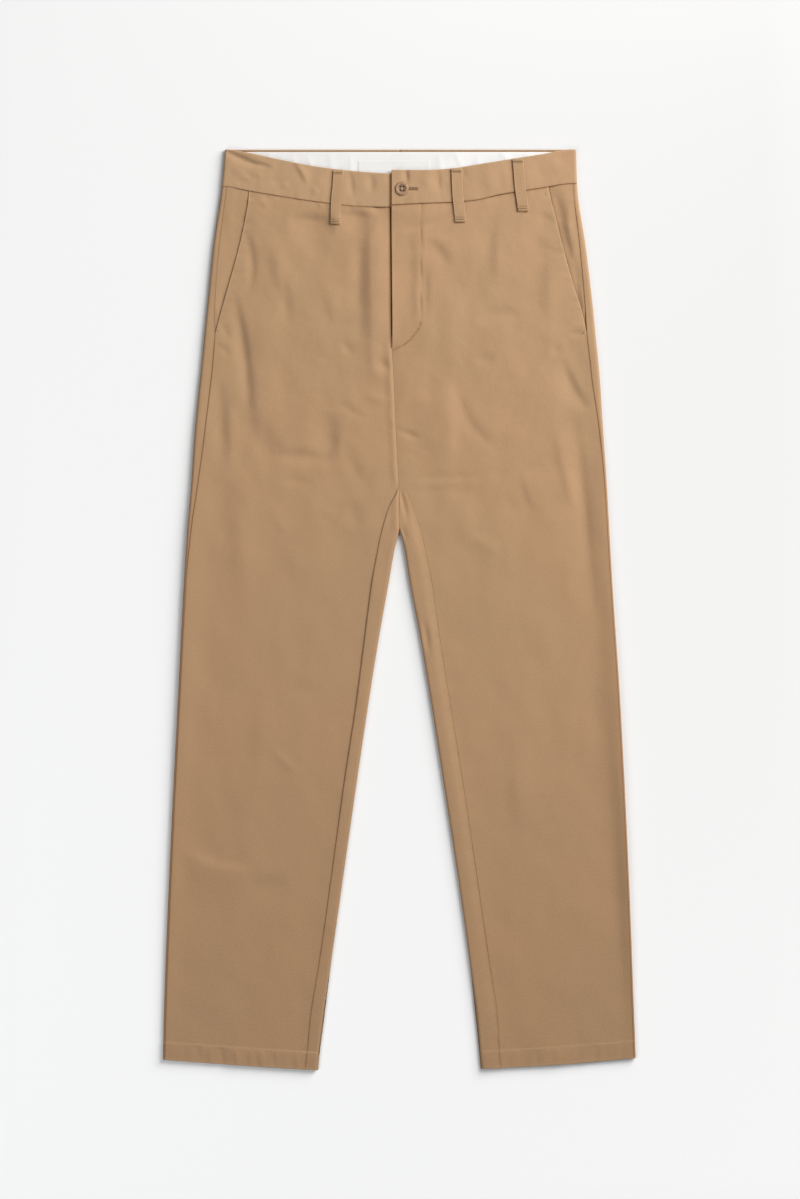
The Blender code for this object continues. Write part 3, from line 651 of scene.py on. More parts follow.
def set_sockets(material, node, sockets):
    """Give each named socket of a node its value, or a link from the output that feeds it."""
    for key, value in sockets.items():
        if isinstance(value, bpy.types.NodeSocket):
            material.node_tree.links.new(value, node.inputs[key])
        else:
            node.inputs[key].default_value = value


def add_node(material, kind, sockets=None, **settings):
    """Add a shader node with its settings and sockets."""
    node = material.node_tree.nodes.new("ShaderNode" + kind)
    for key, value in settings.items():
        setattr(node, key, value)
    set_sockets(material, node, sockets or {})
    return node


def new_material(name):
    """A node material that holds only its Principled shader, and that shader."""
    material = bpy.data.materials.new(name)
    material.use_nodes = True
    return material, material.node_tree.nodes["Principled BSDF"]


def tinted(material, colour, tints):
    """Lay tints over a colour. Each tint's amount goes from least to most as its pattern goes from
    low to high."""
    for pattern, low, high, least, most, tint in tints:
        amount = add_node(material, "MapRange", {
            "Value": pattern, "From Min": low, "From Max": high, "To Min": least, "To Max": most}).outputs[0]
        colour = add_node(material, "Mix", {0: amount, 6: colour, 7: linear(tint)},
                          data_type="RGBA").outputs[2]
    return colour


WAVE_UNIT = 2 * math.pi / 20  # scale at which Blender's wave texture has one band per unit
TWILL_SPACING = 0.0011        # ribs are 0.6 mm apart on the bolt; drawn wider so that they show
TWILL_TURN = math.radians(63)
YARN = 0.0005
SLUB_LENGTH = 0.014
NAP = 0.0022
BLOTCH = 0.034
SHADE = 0.19
CREASE = 0.008

# Uneven patterns of the twill: size of a patch across and down the piece, how it is broken up, and
# where in the pattern it starts
TWILL_PATTERNS = {
    # name      across        down             detail roughness start
    "weft":    (SLUB_LENGTH,  YARN,              2.0, 0.60, 0.0),
    "warp":    (YARN,         SLUB_LENGTH * 1.6, 2.0, 0.60, 5.0),
    "nap":     (NAP,          NAP,               3.0, 0.60, 2.0),
    "blotch":  (BLOTCH,       BLOTCH * 1.5,      3.0, 0.55, 9.0),
    "shade":   (SHADE,        SHADE * 1.3,       2.0, 0.50, 3.0),
    "crease":  (CREASE,       CREASE * 1.6,      3.0, 0.60, 7.0),
}
RIB_RELIEF, NAP_RELIEF = 0.45, 0.8
CREASED_ABOVE = (-0.46, -0.36, 0.25, 1.0)  # fine creasing is weaker in the legs than above the fork
NAP_ROUGHNESS = (0.3, 0.7, 0.78, 0.95)     # low and high of the nap, then the roughness at each


def brushed_twill(name, body, pale, deep, warm, painted_shade):
    """Piece-dyed cotton twill, brushed and washed: matt, with fine ribs, slubs and faint blotches. Painted
    shade darkens it towards the hem, and a dark brown painted shade goes where the wear-and-shade attribute
    falls below 0.
    """
    material, shader = new_material(name)
    weave = add_node(material, "UVMap", uv_map="weave").outputs["UV"]
    place = add_node(material, "SeparateXYZ", {0: weave}).outputs["Y"]
    wear_and_shade = add_node(material, "Attribute", attribute_name="wear_and_shade").outputs["Fac"]
    pattern = {}
    for key, (across, down, detail, roughness, start) in TWILL_PATTERNS.items():
        stretched = add_node(material, "Mapping", {
            "Vector": weave, "Location": (start, start / 3, 0.0), "Scale": (1 / across, 1 / down, 1.0)})
        pattern[key] = add_node(material, "TexNoise", {
            "Vector": stretched.outputs[0], "Scale": 1.0, "Detail": detail,
            "Roughness": roughness}).outputs["Fac"]
    ribs_place = add_node(material, "Mapping", {
        "Vector": weave, "Rotation": (0.0, 0.0, TWILL_TURN), "Scale": (1 / TWILL_SPACING,) * 3}).outputs[0]
    ribs = add_node(material, "TexWave", {
        "Vector": ribs_place, "Scale": WAVE_UNIT, "Distortion": 1.2, "Detail": 1.0,
        "Detail Scale": 1.5}).outputs["Fac"]
    colour = tinted(material, linear(body), (
        # pattern          low   high  least most  tint
        (pattern["blotch"], 0.35, 0.65, 0.00, 0.10, deep),
        (pattern["shade"],  0.40, 0.62, 0.00, 0.50, warm),
        # painted shade: the cloth is darker towards the hem, where the lamps' light falls off
        (place,            -1.10, -0.20, 0.34, 0.00, deep),
        (pattern["weft"],   0.60, 0.78, 0.00, 0.30, pale),
        (pattern["warp"],   0.24, 0.40, 0.28, 0.00, deep),
        (pattern["nap"],    0.40, 0.62, 0.00, 0.22, pale),
        (wear_and_shade,              0.00, 1.00, 0.00, 0.55, pale),
        # painted shade: below 0 the attribute brings in the dark brown shade colour of ditches, slits and
        # cloth under raised edges
        (wear_and_shade,             -1.00, 0.00, 0.90, 0.00, painted_shade),
    ))
    threads = add_node(material, "Math", {0: pattern["weft"], 1: pattern["warp"]}, operation="ADD")
    relief = threads.outputs[0]
    for part, amount in ((pattern["nap"], NAP_RELIEF), (ribs, RIB_RELIEF)):
        relief = add_node(material, "Math", {0: part, 1: amount, 2: relief},
                          operation="MULTIPLY_ADD").outputs[0]
    worked, felted = (add_node(material, "MapRange", {
        "Value": value, "From Min": low, "From Max": high, "To Min": least, "To Max": most}).outputs[0]
        for value, low, high, least, most in ((place, *CREASED_ABOVE), (pattern["nap"], *NAP_ROUGHNESS)))
    creasing = add_node(material, "Math", {0: pattern["crease"], 1: worked}, operation="MULTIPLY").outputs[0]
    bump = add_node(material, "Bump", {"Strength": 0.55, "Distance": 0.00012, "Height": relief}).outputs[0]
    bump = add_node(material, "Bump", {
        "Strength": 0.6, "Distance": 0.0004, "Height": creasing, "Normal": bump}).outputs[0]
    set_sockets(material, shader, {
        "Base Color": colour, "Normal": bump, "Roughness": felted, "Sheen Weight": 0.08,
        "Sheen Roughness": 0.45, "Specular IOR Level": 0.3})
    return material


# The last colour is the painted shade of ditches and of cloth under raised edges
TWILL = brushed_twill("cotton_twill_brushed", "#A0805F", "#B09272", "#8A6A4B", "#A47F5D", "#63390F")

# Columns of a back piece, as shares of the way across each stretch of it
STRIP_SHARES = np.array((0, 0.008, 0.025, 0.05, 0.09, 0.14, 0.2, 0.28, 0.37, 0.46, 0.55, 0.64, 0.72,
                         0.79, 0.85, 0.9, 0.94, 0.965, 0.985, 1))
SEAM_SHARES = np.array((1, 0.985, 0.96, 0.92, 0.86, 0.78, 0.68, 0.57, 0.45, 0.33, 0.21, 0.1))
ROLL_STEPS = ROLL * (1 - np.cos(np.radians((0, 11, 23, 36, 50, 65, 78))))
FLOOR_SHARES = np.linspace(0.04, 0.96, 22)

# Rounded borders and dips: how far they reach and how deep they are
HEM_ROUND, HEM_INSIDE = (0.9, 0.5), (0.9, 0.4)
SIDE_SEAM_DIP, INSEAM_DIP = (1.3, 0.5), (0.8, 0.2)

# Rubbed edges, and painted shade in the ditches and along the outer rim: how strong they are and how far
# they spread
HEM_RUB = (0.7, 1.4)
SIDE_SEAM_SHADE = (0.9, 0.7)
INSEAM_SHADE, INSEAM_SHADE_WIDTH = 0.6, 0.6
OUTER_SHADE, OUTER_SHADE_WIDTH = {"right": 0.2, "left": 0.0}, 1.2

# A side seam's ditch is pressed flat beside the pocket, and opens below it or below its top
SEAM_OPENS = {"right": (0.1, 222, 240), "left": (0.4, 50, 85)}

# Centre seams: the right half's swell and slope down, and the left half's dip, with their widths
CENTRE_SWELL, CENTRE_SLOPE, CENTRE_DIP = 0.9, 1.15, -0.25
CENTRE_WIDTH, SWELL_WIDTH = 4.0, 12.0

STRIP_PUCKERS, STRIP_PUCKER_START, STRIP_PUCKER_WIDTH = (0.26, 23.0), 1.3, 9.0
STRIP_PUCKER_EASE = (440, 500)


def centre_lift(side, from_seam):
    """Centre seams: the right half swells towards the seam, then slopes down to the left half."""
    if side == "left":
        return bell(from_seam, CENTRE_DIP, CENTRE_WIDTH)
    swell = CENTRE_SWELL * (1 - ease(from_seam, CENTRE_WIDTH, SWELL_WIDTH))
    return swell - CENTRE_SLOPE * (1 - ease(from_seam, 0.0, CENTRE_WIDTH))


def inseam_shade(side, down):
    """How dark the painted shade in the inseam's ditch is: all the way on the right leg, and low on the left
    one.
    """
    return INSEAM_SHADE * (1.0 if side == "right" else along(INSEAM_LIFT, "left_shade", down))


def side_seam_shade(side, down):
    """How much a side seam's ditch shows, in its dip and its painted shade: from least where it is pressed
    flat, up to 1.
    """
    least, start, full = SEAM_OPENS[side]
    return least + (1 - least) * ease(down, start, full)


def strip_puckers(side, x, down):
    """Short puckers across the strip where the two edges of the inseam were eased together."""
    from_inner = np.maximum(edge_distances(side, x, down)[1], 0)
    puckers = ripple(down, *STRIP_PUCKERS, STRIP_PUCKER_START * SIDES[side])
    puckers = puckers * mark(abs(x - inseam(side, down)), 1.0, STRIP_PUCKER_WIDTH)
    return puckers * ease(down, *STRIP_PUCKER_EASE) * (1 - mark(from_inner, 1.0, EDGE_FADE))


def back_panel(side):
    """Back leg piece: a floor patch from the side seam round to the centre or the inner edge,
    and below the fork a strip patch from the inner edge to the inseam."""
    sign = SIDES[side]

    def floor_columns(down):
        inset = along(OUTLINE, side + "_seam", down[:, :1]) - SEAM_GAP / 2
        curl = ROLL * np.arccos(1 - np.clip(inset / ROLL, 0, 1))
        travel = SEAM_SHARES * (curl + np.maximum(inset - ROLL, 0))
        distance = np.where(travel < curl, ROLL * (1 - np.cos(travel / ROLL)), ROLL + travel - curl)
        outer, inner = outer_edge(side, down[:, :1]), inner_edge(side, down[:, :1])
        return np.concatenate((
            outer - sign * distance, outer - sign * ROLL_STEPS, outer - sign * ROLL,
            outer * (1 - FLOOR_SHARES) + inner * FLOOR_SHARES,
            inner + sign * ROLL, inner + sign * ROLL_STEPS[::-1]), axis=1)

    columns = len(SEAM_SHARES) + 2 * len(ROLL_STEPS) + 2 + len(FLOOR_SHARES)
    upper = np.arange(columns)[None, :] < len(SEAM_SHARES)
    x, down = settle_rows(side, floor_columns, upper, ROWS)
    upper = np.broadcast_to(upper, x.shape)
    from_seam = np.where(upper, abs(x - side_seam(side, down)), FAR)
    from_hem = hem_line(side, x) - down
    from_outer = np.maximum(edge_distances(side, x, down)[0], 0)
    shown = side_seam_shade(side, down)
    sink = fall(from_seam, *SIDE_SEAM_DIP) * shown + fall(from_hem, *HEM_ROUND)
    # Paler at the hem's fold; painted shade in the side seam's ditch and along the outer rim
    rubbing_and_shade = bell(from_hem, *HEM_RUB) - mark(from_seam, *SIDE_SEAM_SHADE) * shown
    rubbing_and_shade = np.clip(rubbing_and_shade - bell(from_outer, OUTER_SHADE[side], OUTER_SHADE_WIDTH), -1, 1)
    wall = cloth_wall(side, x, down) - fall(from_hem, *HEM_INSIDE)
    floor_patch = (*skin(side, x, down, upper, wall, cloth_height(side, x, down), sink), rubbing_and_shade)

    def strip_columns(down):
        edge, end = inner_edge(side, down[:, :1]), inseam(side, down[:, :1]) - sign * SEAM_GAP / 2
        return edge + (end - edge) * STRIP_SHARES

    upper = np.ones((1, len(STRIP_SHARES)), bool)
    x, down = settle_rows(side, strip_columns, upper, ROWS[ROWS >= FORK_DOWN])
    from_seam = abs(x - inseam(side, down))
    from_hem = hem_line(side, x) - down
    height = cloth_height(side, x, down) + strip_puckers(side, x, down)
    height = height + centre_lift(side, np.where(down < CROTCH_DOWN, abs(x), FAR))
    sink = fall(from_seam, *INSEAM_DIP) + fall(from_hem, *HEM_ROUND)
    rubbing_and_shade = bell(from_hem, *HEM_RUB) - mark(from_seam, inseam_shade(side, down), INSEAM_SHADE_WIDTH)
    wall = cloth_wall(side, x, down) - fall(from_hem, *HEM_INSIDE)
    strip_patch = (*skin(side, x, down, upper, wall, height, sink), rubbing_and_shade)
    return shell("back_leg_" + side, [floor_patch, strip_patch], TWILL)


for side in SIDES:
    piece = back_panel(side)
    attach(piece, "root")
    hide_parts("back_" + side)


# --- Pocket facings ------------------------------------------------------------------------
# A facing of the same twill closes each slanted pocket behind its mouth. It is sewn in with the
# side seam, and slopes down from there to pass under the front.
MOUTH_END = 221.0
FACING_UNDER = 14.0
FACING_END = 233.0
FACING_SHARES = np.concatenate(((0, 0.01, 0.03, 0.06, 0.1), np.linspace(0.16, 1, 18)))

# How far a facing drops under the mouth's edge, the share of that lost over FLATTENING_EASE, and
# between which shares of the mouth's width it drops
FACING_DROPS = {"right": (1.0, 0.0, 0.0, 0.8), "left": (3.3, 0.62, 0.25, 1.15)}
FLATTENING_EASE = (110, 185)
MOUTH_CLOSES = (MOUTH_END - 36, MOUTH_END - 16)
# Painted shade on the facing beside the mouth's edge and in the side seam's ditch (strength, spread)
MOUTH_SHADE, FACING_SEAM_SHADE = (0.7, 0.9), (0.8, 0.7)

# Slanted pocket mouths, on the front panels' outer edges
POCKET_MOUTHS = table(
    "down   right   left",
    (46,   -180.2, 178.6),
    (62,   -181.4, 182.0),
    (80,   -184.4, 186.8),
    (118,  -192.7, 196.2),
    (157,  -203.4, 207.1),
    (193,  -213.6, 218.6),
    (221,  -221.0, 224.6),
)

# Small creases where a hand has pushed the facing down, as in the table of the legs' folds
FACING_FOLDS = table(
    "x0    down0    x1  down1  bow  minus  plus   rise",
    (-205,    62, -203,   110,   1,     5,    6,  0.35),
    (-214,   120, -219,   178,  -1,     4,    5, -0.30),
    (187,     50,  196,    98,   1,     6,    5, -1.20),
    (196,     88,  206,   134,   0,     6,    4, -1.30),
    (202,     66,  206,   118,  -1,     4,    4,  0.50),
    (208,    124,  215,   172,   1,     5,    4, -1.00),
    (212,    160,  219,   196,   0,     4,    3, -0.70),
    (196,     96,  210,    90,   0,     4,    4,  0.50),
    (200,    140,  214,   133,   0,     4,    4,  0.40),
)


def pocket_facing(side):
    """Facing from the side seam to well under the front panel, on a grid across and down it."""
    sign = SIDES[side]

    def columns(down):
        outer = side_seam(side, down[:, :1]) - sign * SEAM_GAP
        inner = along(POCKET_MOUTHS, side, down[:, :1]) - sign * FACING_UNDER
        return outer * (1 - FACING_SHARES) + inner * FACING_SHARES

    upper = np.ones((1, len(FACING_SHARES)), bool)
    x, down = settle_rows(side, columns, upper, ROWS[ROWS < FACING_END])
    seam, mouth = side_seam(side, down), along(POCKET_MOUTHS, side, down)
    width = np.maximum(sign * (seam - mouth), 1.0)
    drop, flattening, start, full = FACING_DROPS[side]
    below = ease(sign * (seam - x), start * width, full * width)
    below = np.maximum(below, ease(down, *MOUTH_CLOSES)) * (1 - flattening * ease(down, *FLATTENING_EASE))
    height = cloth_height(side, x, down) - drop * below + fold_relief(FACING_FOLDS, x, down)
    from_seam = abs(x - seam)
    shown = side_seam_shade(side, down)
    outer, inner = skin(side, x, down, upper, CLOTH_WALL, height, fall(from_seam, *SIDE_SEAM_DIP) * shown)
    past_mouth = np.maximum(sign * (x - mouth), 0)
    rubbing_and_shade = -mark(from_seam, *FACING_SEAM_SHADE) * shown - mark(past_mouth, *MOUTH_SHADE)
    return shell("pocket_facing_cloth_" + side, [(outer, inner, rubbing_and_shade)], TWILL)


for side in SIDES:
    piece = pocket_facing(side)
    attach(piece, "root")
    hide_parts("pocket_facing_" + side)


# --- Fly shield ----------------------------------------------------------------------------
# A strip of the same twill behind the fly's opening. It is sewn to the right front's edge, and lies
# on the backs, under both fronts.
SHIELD_X = (-26.0, 27.0)
SHIELD_LENGTH = 168.0
SHIELD_DROP = 2.0
shield_x, below_seam = np.meshgrid(np.linspace(*SHIELD_X, 28),
                                   np.linspace(SEAM_GAP, SEAM_GAP + SHIELD_LENGTH, 80))
shield_down = along(BANDS["right"], "seam", shield_x, key="x") + below_seam
shield_skin = skin("right", shield_x, shield_down, True, CLOTH_WALL,
                   cloth_height("right", shield_x, shield_down) - SHIELD_DROP)
# The whole shield is painted in the dark shade colour, as it shows only as the shadowed slit
shield = shell("fly_shield_cloth", [(*shield_skin, -1.0)], TWILL)
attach(shield, "root")
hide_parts("fly_shield")


# --- Front legs ----------------------------------------------------------------------------
# Each front is one cut piece of the same twill, from the waist seam to the hem. Its edge is turned
# under at the slanted pocket mouth and at the fly, and seamed to the back everywhere else.
FLY_END = 238.0
FLY_SLIT_HALF, SLIT_CLOSES = 0.75, 25.0
FOLDED_EDGE, FOLDED_WIDTH = 1.5, (7, 12)
BORDER = np.array((0, 0.08, 0.2, 0.38, 0.62, 0.95, 1.4, 2.0, 2.8, 3.9, 5.4))
MIDDLE_COLUMNS = 84

# Puckers beside the inseam, the pocket mouth and the waist seam, and how far each of them reaches
INSEAM_PUCKERS, INSEAM_PUCKER_START, INSEAM_PUCKER_WIDTH = (0.14, 26.0), 2.0, 7.0
MOUTH_PUCKERS, MOUTH_RISE, MOUTH_WIDTH = (0.36, 19.0, 0.4), 0.25, 11.0
WAIST_PUCKERS, WAIST_PUCKER_WIDTH = (0.24, 17.0, 1.1), 9.0
WAIST_DIP = (0.4, 5.0)
STITCH_DIP, STITCH_BANK, STITCH_BANK_AT = (0.4, 0.9), (0.12, 1.8), 3.2

# Where down the leg these fade in or out
INSEAM_PUCKER_EASE = (CORNER_DOWN, CORNER_DOWN + 25)
MOUTH_FADE = (MOUTH_END - 6, MOUTH_END + 12)
CENTRE_EASE, CENTRE_FADE = (FLY_END - 12, FLY_END + 6), (CORNER_DOWN - 10, CORNER_DOWN + 8)
FLY_FOOT_EASE = (190, 215)

# Rounded borders and dips (reach, depth), then rubbed edges and painted shade in the ditches, in the fly's
# slit and beside the belt loops (strength, spread)
MOUTH_ROUND, FLY_ROUND = (0.6, 0.5), (0.9, 0.62)
OUTER_SEAM_DIP, INNER_SEAM_DIP, WAIST_SEAM_DIP = (1.2, 0.4), (0.8, 0.15), (1.2, 0.45)
MOUTH_RUB, STITCH_RUB = (0.7, 1.6), (0.2, 1.2)
WAIST_SHADE, OUTER_SEAM_SHADE = (1.0, 0.7), (0.8, 0.6)
FLY_SHADE, LOOP_SHADE = (0.9, 1.8), 0.8
FLY_STITCH_SHADE, FLY_FOOT_SHADE, FLY_STITCH_WIDTH = 0.4, 0.2, 0.8

# Centre-front line: the fly's edge, then the seam to the fork
CENTRE_FRONT = table(
    "down      x",
    (60,   -10.4),
    (228,   -9.2),
    (273,   -6.8),
    (332,   -4.2),
    (376,   -2.0),
    (402,   -0.6),
)

# Line of stitching that holds the fly's facing: down beside the opening, then curved to its foot
FLY_STITCH = table(
    "way     x   down",
    (0,   26.5,  66.0),
    (60,  26.6, 126.0),
    (120, 26.7, 186.0),
    (140, 26.4, 204.0),
    (150, 23.6, 213.5),
    (159, 18.6, 221.0),
    (168, 12.6, 228.5),
    (177,  4.6, 234.5),
    (190, -7.6, 240.6),
)
FLY_WAY = 190.0

# Where the belt loops lie on the fronts and the waistband
BELT_LOOPS = (
    # node                   x_top  down_top x_foot down_foot width
    ("belt_loop_right_front", -73.3, 24.2,   -77.2, 89.4,     12.4),
    ("belt_loop_left_front",   67.9, 22.4,    72.7, 87.0,     13.2),
    ("belt_loop_left_side",   141.4, 10.8,   148.1, 74.0,     13.2),
)
# Painted shadow of each loop beside its right-hand edge and below its foot: strength and spread, then how
# far out it lies
LOOP_EDGE_SHADOW, LOOP_EDGE_AT = (1.0, 1.1), 0.5
LOOP_FOOT_SHADOW, LOOP_FOOT_AT = (1.0, 0.9), 0.7


def beside_loops(x, down):
    """Painted shadow of the belt loops: 1 in a narrow band along each loop's right-hand edge and below its
    foot.
    """
    painted_shade = np.zeros(np.broadcast(x, down).shape)
    for _, x_top, down_top, x_foot, down_foot, width in BELT_LOOPS:
        share = np.clip((down - down_top) / (down_foot - down_top), 0.0, 1.0)
        across = x - (x_top + (x_foot - x_top) * share)
        beside = ease(down, down_top, down_top + 2) * (1 - ease(down, down_foot, down_foot + 2))
        edge = bell(across + width / 2 + LOOP_EDGE_AT, *LOOP_EDGE_SHADOW) * beside
        foot = bell(down - down_foot - LOOP_FOOT_AT, *LOOP_FOOT_SHADOW) * (abs(across) < width / 2)
        painted_shade = np.maximum(painted_shade, np.maximum(edge, foot))
    return painted_shade


def front_outer(side, down):
    """Outer edge of a front panel: the pocket mouth, then the side seam."""
    seam = side_seam(side, down) - SIDES[side] * SEAM_GAP / 2
    return np.where(down < MOUTH_END, along(POCKET_MOUTHS, side, down), seam)


def front_inner(side, down):
    """Inner edge of a front panel: the fly's edge, the centre seam, then the inseam."""
    half_gap = FLY_SLIT_HALF + (SEAM_GAP / 2 - FLY_SLIT_HALF) * ease(down, FLY_END - SLIT_CLOSES, FLY_END)
    centre = along(CENTRE_FRONT, "x", down) + SIDES[side] * half_gap
    return np.where(down < CORNER_DOWN, centre, inseam(side, down) + SIDES[side] * SEAM_GAP / 2)


def fly_line(way):
    """Points of the fly's stitching, by the way along it."""
    return along(FLY_STITCH, "x", way, key="way"), along(FLY_STITCH, "down", way, key="way")


def from_stitching(x, down):
    """Distance to the fly's curved stitching, as the least distance to short runs along it."""
    line_x, line_down = fly_line(np.linspace(0, FLY_WAY, 39))
    distance = np.full(x.shape, FAR)
    for x0, down0, run_x, run_down in zip(line_x, line_down, np.diff(line_x), np.diff(line_down)):
        share = np.clip(((x - x0) * run_x + (down - down0) * run_down) / (run_x ** 2 + run_down ** 2), 0, 1)
        distance = np.minimum(distance, np.hypot(x - x0 - share * run_x, down - down0 - share * run_down))
    return distance


def front_distances(side, x, down):
    """Distances in from a front's outer edge and inner edge, and down from the waist seam."""
    below_band = down - along(BANDS[side], "seam", x, key="x")
    return abs(x - front_outer(side, down)), abs(x - front_inner(side, down)), below_band


def front_height(side, x, down):
    """The cloth's height, with the low reliefs that the seams, mouth and stitching give a front."""
    to_outer, to_inner, below_band = front_distances(side, x, down)
    below_corner = ease(down, *INSEAM_PUCKER_EASE)
    near_mouth = 1 - ease(down, *MOUTH_FADE)
    below_fly = ease(down, *CENTRE_EASE) * (1 - ease(down, *CENTRE_FADE))
    inseam_puckers = ripple(down, *INSEAM_PUCKERS, INSEAM_PUCKER_START * SIDES[side])
    mouth_rise = MOUTH_RISE + ripple(down, *MOUTH_PUCKERS)
    height = cloth_height(side, x, down) + centre_lift(side, to_inner) * below_fly
    height = height + mark(to_inner, inseam_puckers, INSEAM_PUCKER_WIDTH) * below_corner
    height = height + bell(to_outer, mouth_rise, MOUTH_WIDTH) * near_mouth
    height = height + bell(below_band, ripple(x, *WAIST_PUCKERS), WAIST_PUCKER_WIDTH)
    height = height - bell(below_band, *WAIST_DIP)
    if side == "right":
        return height
    from_thread = from_stitching(x, down)
    return height - bell(from_thread, *STITCH_DIP) + bell(from_thread - STITCH_BANK_AT, *STITCH_BANK)


def front_panel(side):
    """Front leg piece, from the waistband's seam to the hem, with columns gathered at its edges."""
    share = np.linspace(0, 1, MIDDLE_COLUMNS + 2)[1:-1]
    weight = np.concatenate((np.ones(len(BORDER)), 1 - share, np.zeros(len(BORDER))))
    offset = np.concatenate((-BORDER, BORDER[-1] * (2 * share - 1), BORDER[::-1]))

    def columns(down):
        outer, inner = front_outer(side, down[:, :1]), front_inner(side, down[:, :1])
        return weight * outer + (1 - weight) * inner + SIDES[side] * offset

    upper = np.ones((1, len(weight)), bool)
    x, down = settle_rows(side, columns, upper, ROWS)
    to_outer, to_inner, below_band = front_distances(side, x, down)
    from_hem = hem_line(side, x) - down
    mouth, fly = down < MOUTH_END, down < FLY_END
    from_mouth, from_side = np.where(mouth, to_outer, FAR), np.where(mouth, FAR, to_outer)
    from_fly, from_centre = np.where(fly, to_inner, FAR), np.where(fly, FAR, to_inner)
    folded = 1 - ease(np.minimum(from_mouth, from_fly), *FOLDED_WIDTH)
    rounding = fall(from_mouth, *MOUTH_ROUND) + fall(from_fly, *FLY_ROUND)
    seams = fall(from_side, *OUTER_SEAM_DIP) + fall(from_centre, *INNER_SEAM_DIP)
    sink = rounding + seams + fall(below_band, *WAIST_SEAM_DIP) + fall(from_hem, *HEM_ROUND)
    wall = cloth_wall(side, x, down) - fall(from_hem, *HEM_INSIDE)
    wall = wall + (FOLDED_EDGE - CLOTH_WALL) * folded - rounding
    at_inseam = ease(down, CORNER_DOWN, CORNER_DOWN + 8)
    rubbing_and_shade = bell(from_mouth, *MOUTH_RUB) + bell(from_hem, *HEM_RUB) + bell(from_hem - HEM_DEPTH, *STITCH_RUB)
    rubbing_and_shade = rubbing_and_shade - mark(below_band, *WAIST_SHADE) - mark(from_side, *OUTER_SEAM_SHADE)
    rubbing_and_shade = rubbing_and_shade - mark(to_inner, inseam_shade(side, down), INSEAM_SHADE_WIDTH) * at_inseam
    rubbing_and_shade = rubbing_and_shade - LOOP_SHADE * beside_loops(x, down)
    # Painted shade along the left front's fly stitching, or in the slit at the right front's edge under the
    # fly
    if side == "left":
        thread_shade = FLY_STITCH_SHADE + FLY_FOOT_SHADE * ease(down, *FLY_FOOT_EASE)
        rubbing_and_shade = rubbing_and_shade - bell(from_stitching(x, down), thread_shade, FLY_STITCH_WIDTH)
    else:
        rubbing_and_shade = rubbing_and_shade - bell(from_fly, *FLY_SHADE)
    outer, inner = skin(side, x, down, upper, wall, front_height(side, x, down), sink)
    return shell("front_leg_" + side, [(outer, inner, np.clip(rubbing_and_shade, -1, 1))], TWILL)


for side in SIDES:
    piece = front_panel(side)
    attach(piece, "root")
    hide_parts("front_" + side)


# --- Waistband lining ----------------------------------------------------------------------
# A strip of plain white cotton lines the back of the waistband, from under its turned top edge.
# It shows through the open waist, a little creased.
BAND_WALL = 1.6
LINING_WALL = 0.7
LINING_X, LINING_DOWN = (-202.0, 204.0), (2.7, 41.0)
LINING_SEAT = BAND_WALL + 0.25
LINING_GATHERS, LINING_RIPPLE = 0.12, (34.0, 0.3)
LINING_THREAD = 0.0007        # threads are 0.25 mm apart; drawn wider so that they show

# Creases of the lining, as in the table of the legs' folds
LINING_FOLDS = table(
    "x0    down0    x1  down1  bow  minus  plus  rise",
    (-160,     2, -146,    30,   1,     3,    4, 0.45),
    (-128,     2, -120,    36,  -1,     4,    3, 0.40),
    (-112,     4, -104,    34,   1,     3,    4, 0.35),
    (-84,      1,  -80,    38,   0,     4,    5, 0.45),
    (-60,      2,  -58,    40,   1,     3,    3, 0.35),
    (46,       2,   52,    36,   0,     4,    4, 0.45),
    (64,       1,   76,    24,   1,     3,    4, 0.40),
    (92,       2,   98,    34,   0,     4,    5, 0.40),
    (118,      2,  134,    18,   1,     3,    4, 0.45),
    (150,      2,  158,    14,   0,     3,    4, 0.35),
)


def plain_cotton(name, body, deep, thread):
    """Plain-woven cotton, bleached or natural: a fine even grid of threads, matt, hardly uneven."""
    material, shader = new_material(name)
    weave = add_node(material, "UVMap", uv_map="weave").outputs["UV"]
    grid = add_node(material, "Mapping", {"Vector": weave, "Scale": (1 / thread,) * 3}).outputs[0]
    across, down = (add_node(material, "TexWave", {
        "Vector": grid, "Scale": WAVE_UNIT, "Distortion": 0.6, "Detail": 1.0},
        bands_direction=direction).outputs["Fac"] for direction in ("X", "Y"))
    uneven = add_node(material, "TexNoise", {
        "Vector": weave, "Scale": 1 / BLOTCH, "Detail": 4.0}).outputs["Fac"]
    relief = add_node(material, "Math", {0: across, 1: down}, operation="MULTIPLY").outputs[0]
    bump = add_node(material, "Bump", {"Strength": 0.5, "Distance": 0.00008, "Height": relief}).outputs[0]
    set_sockets(material, shader, {
        "Base Color": tinted(material, linear(body), ((uneven, 0.35, 0.7, 0.0, 0.6, deep),)),
        "Normal": bump, "Roughness": 0.85, "Specular IOR Level": 0.3})
    return material


def flat_cloth(name, x_ends, down_ends, seat, wall, finish, step=1.6):
    """Level sheet whose top lies at seat above the table plus its creases, with rounded edges."""
    x, down = np.meshgrid(*(np.linspace(start, end, round((end - start) / step) + 1)
                            for start, end in (x_ends, down_ends)))
    border = np.minimum.reduce((x - x_ends[0], x_ends[1] - x, down - down_ends[0], down_ends[1] - down))
    gathers = (LINING_GATHERS + ripple(x, LINING_GATHERS, *LINING_RIPPLE)) * ease(down, *down_ends)
    creases = np.maximum(fold_relief(LINING_FOLDS, x, down) + gathers, 0.0)
    inner = np.stack((x, down, seat + creases), axis=-1)
    outer = np.stack((x, down, seat + wall + creases - fall(border, 0.8, 0.35 * wall)), axis=-1)
    return shell(name, [(outer, inner, 0.0)], finish)


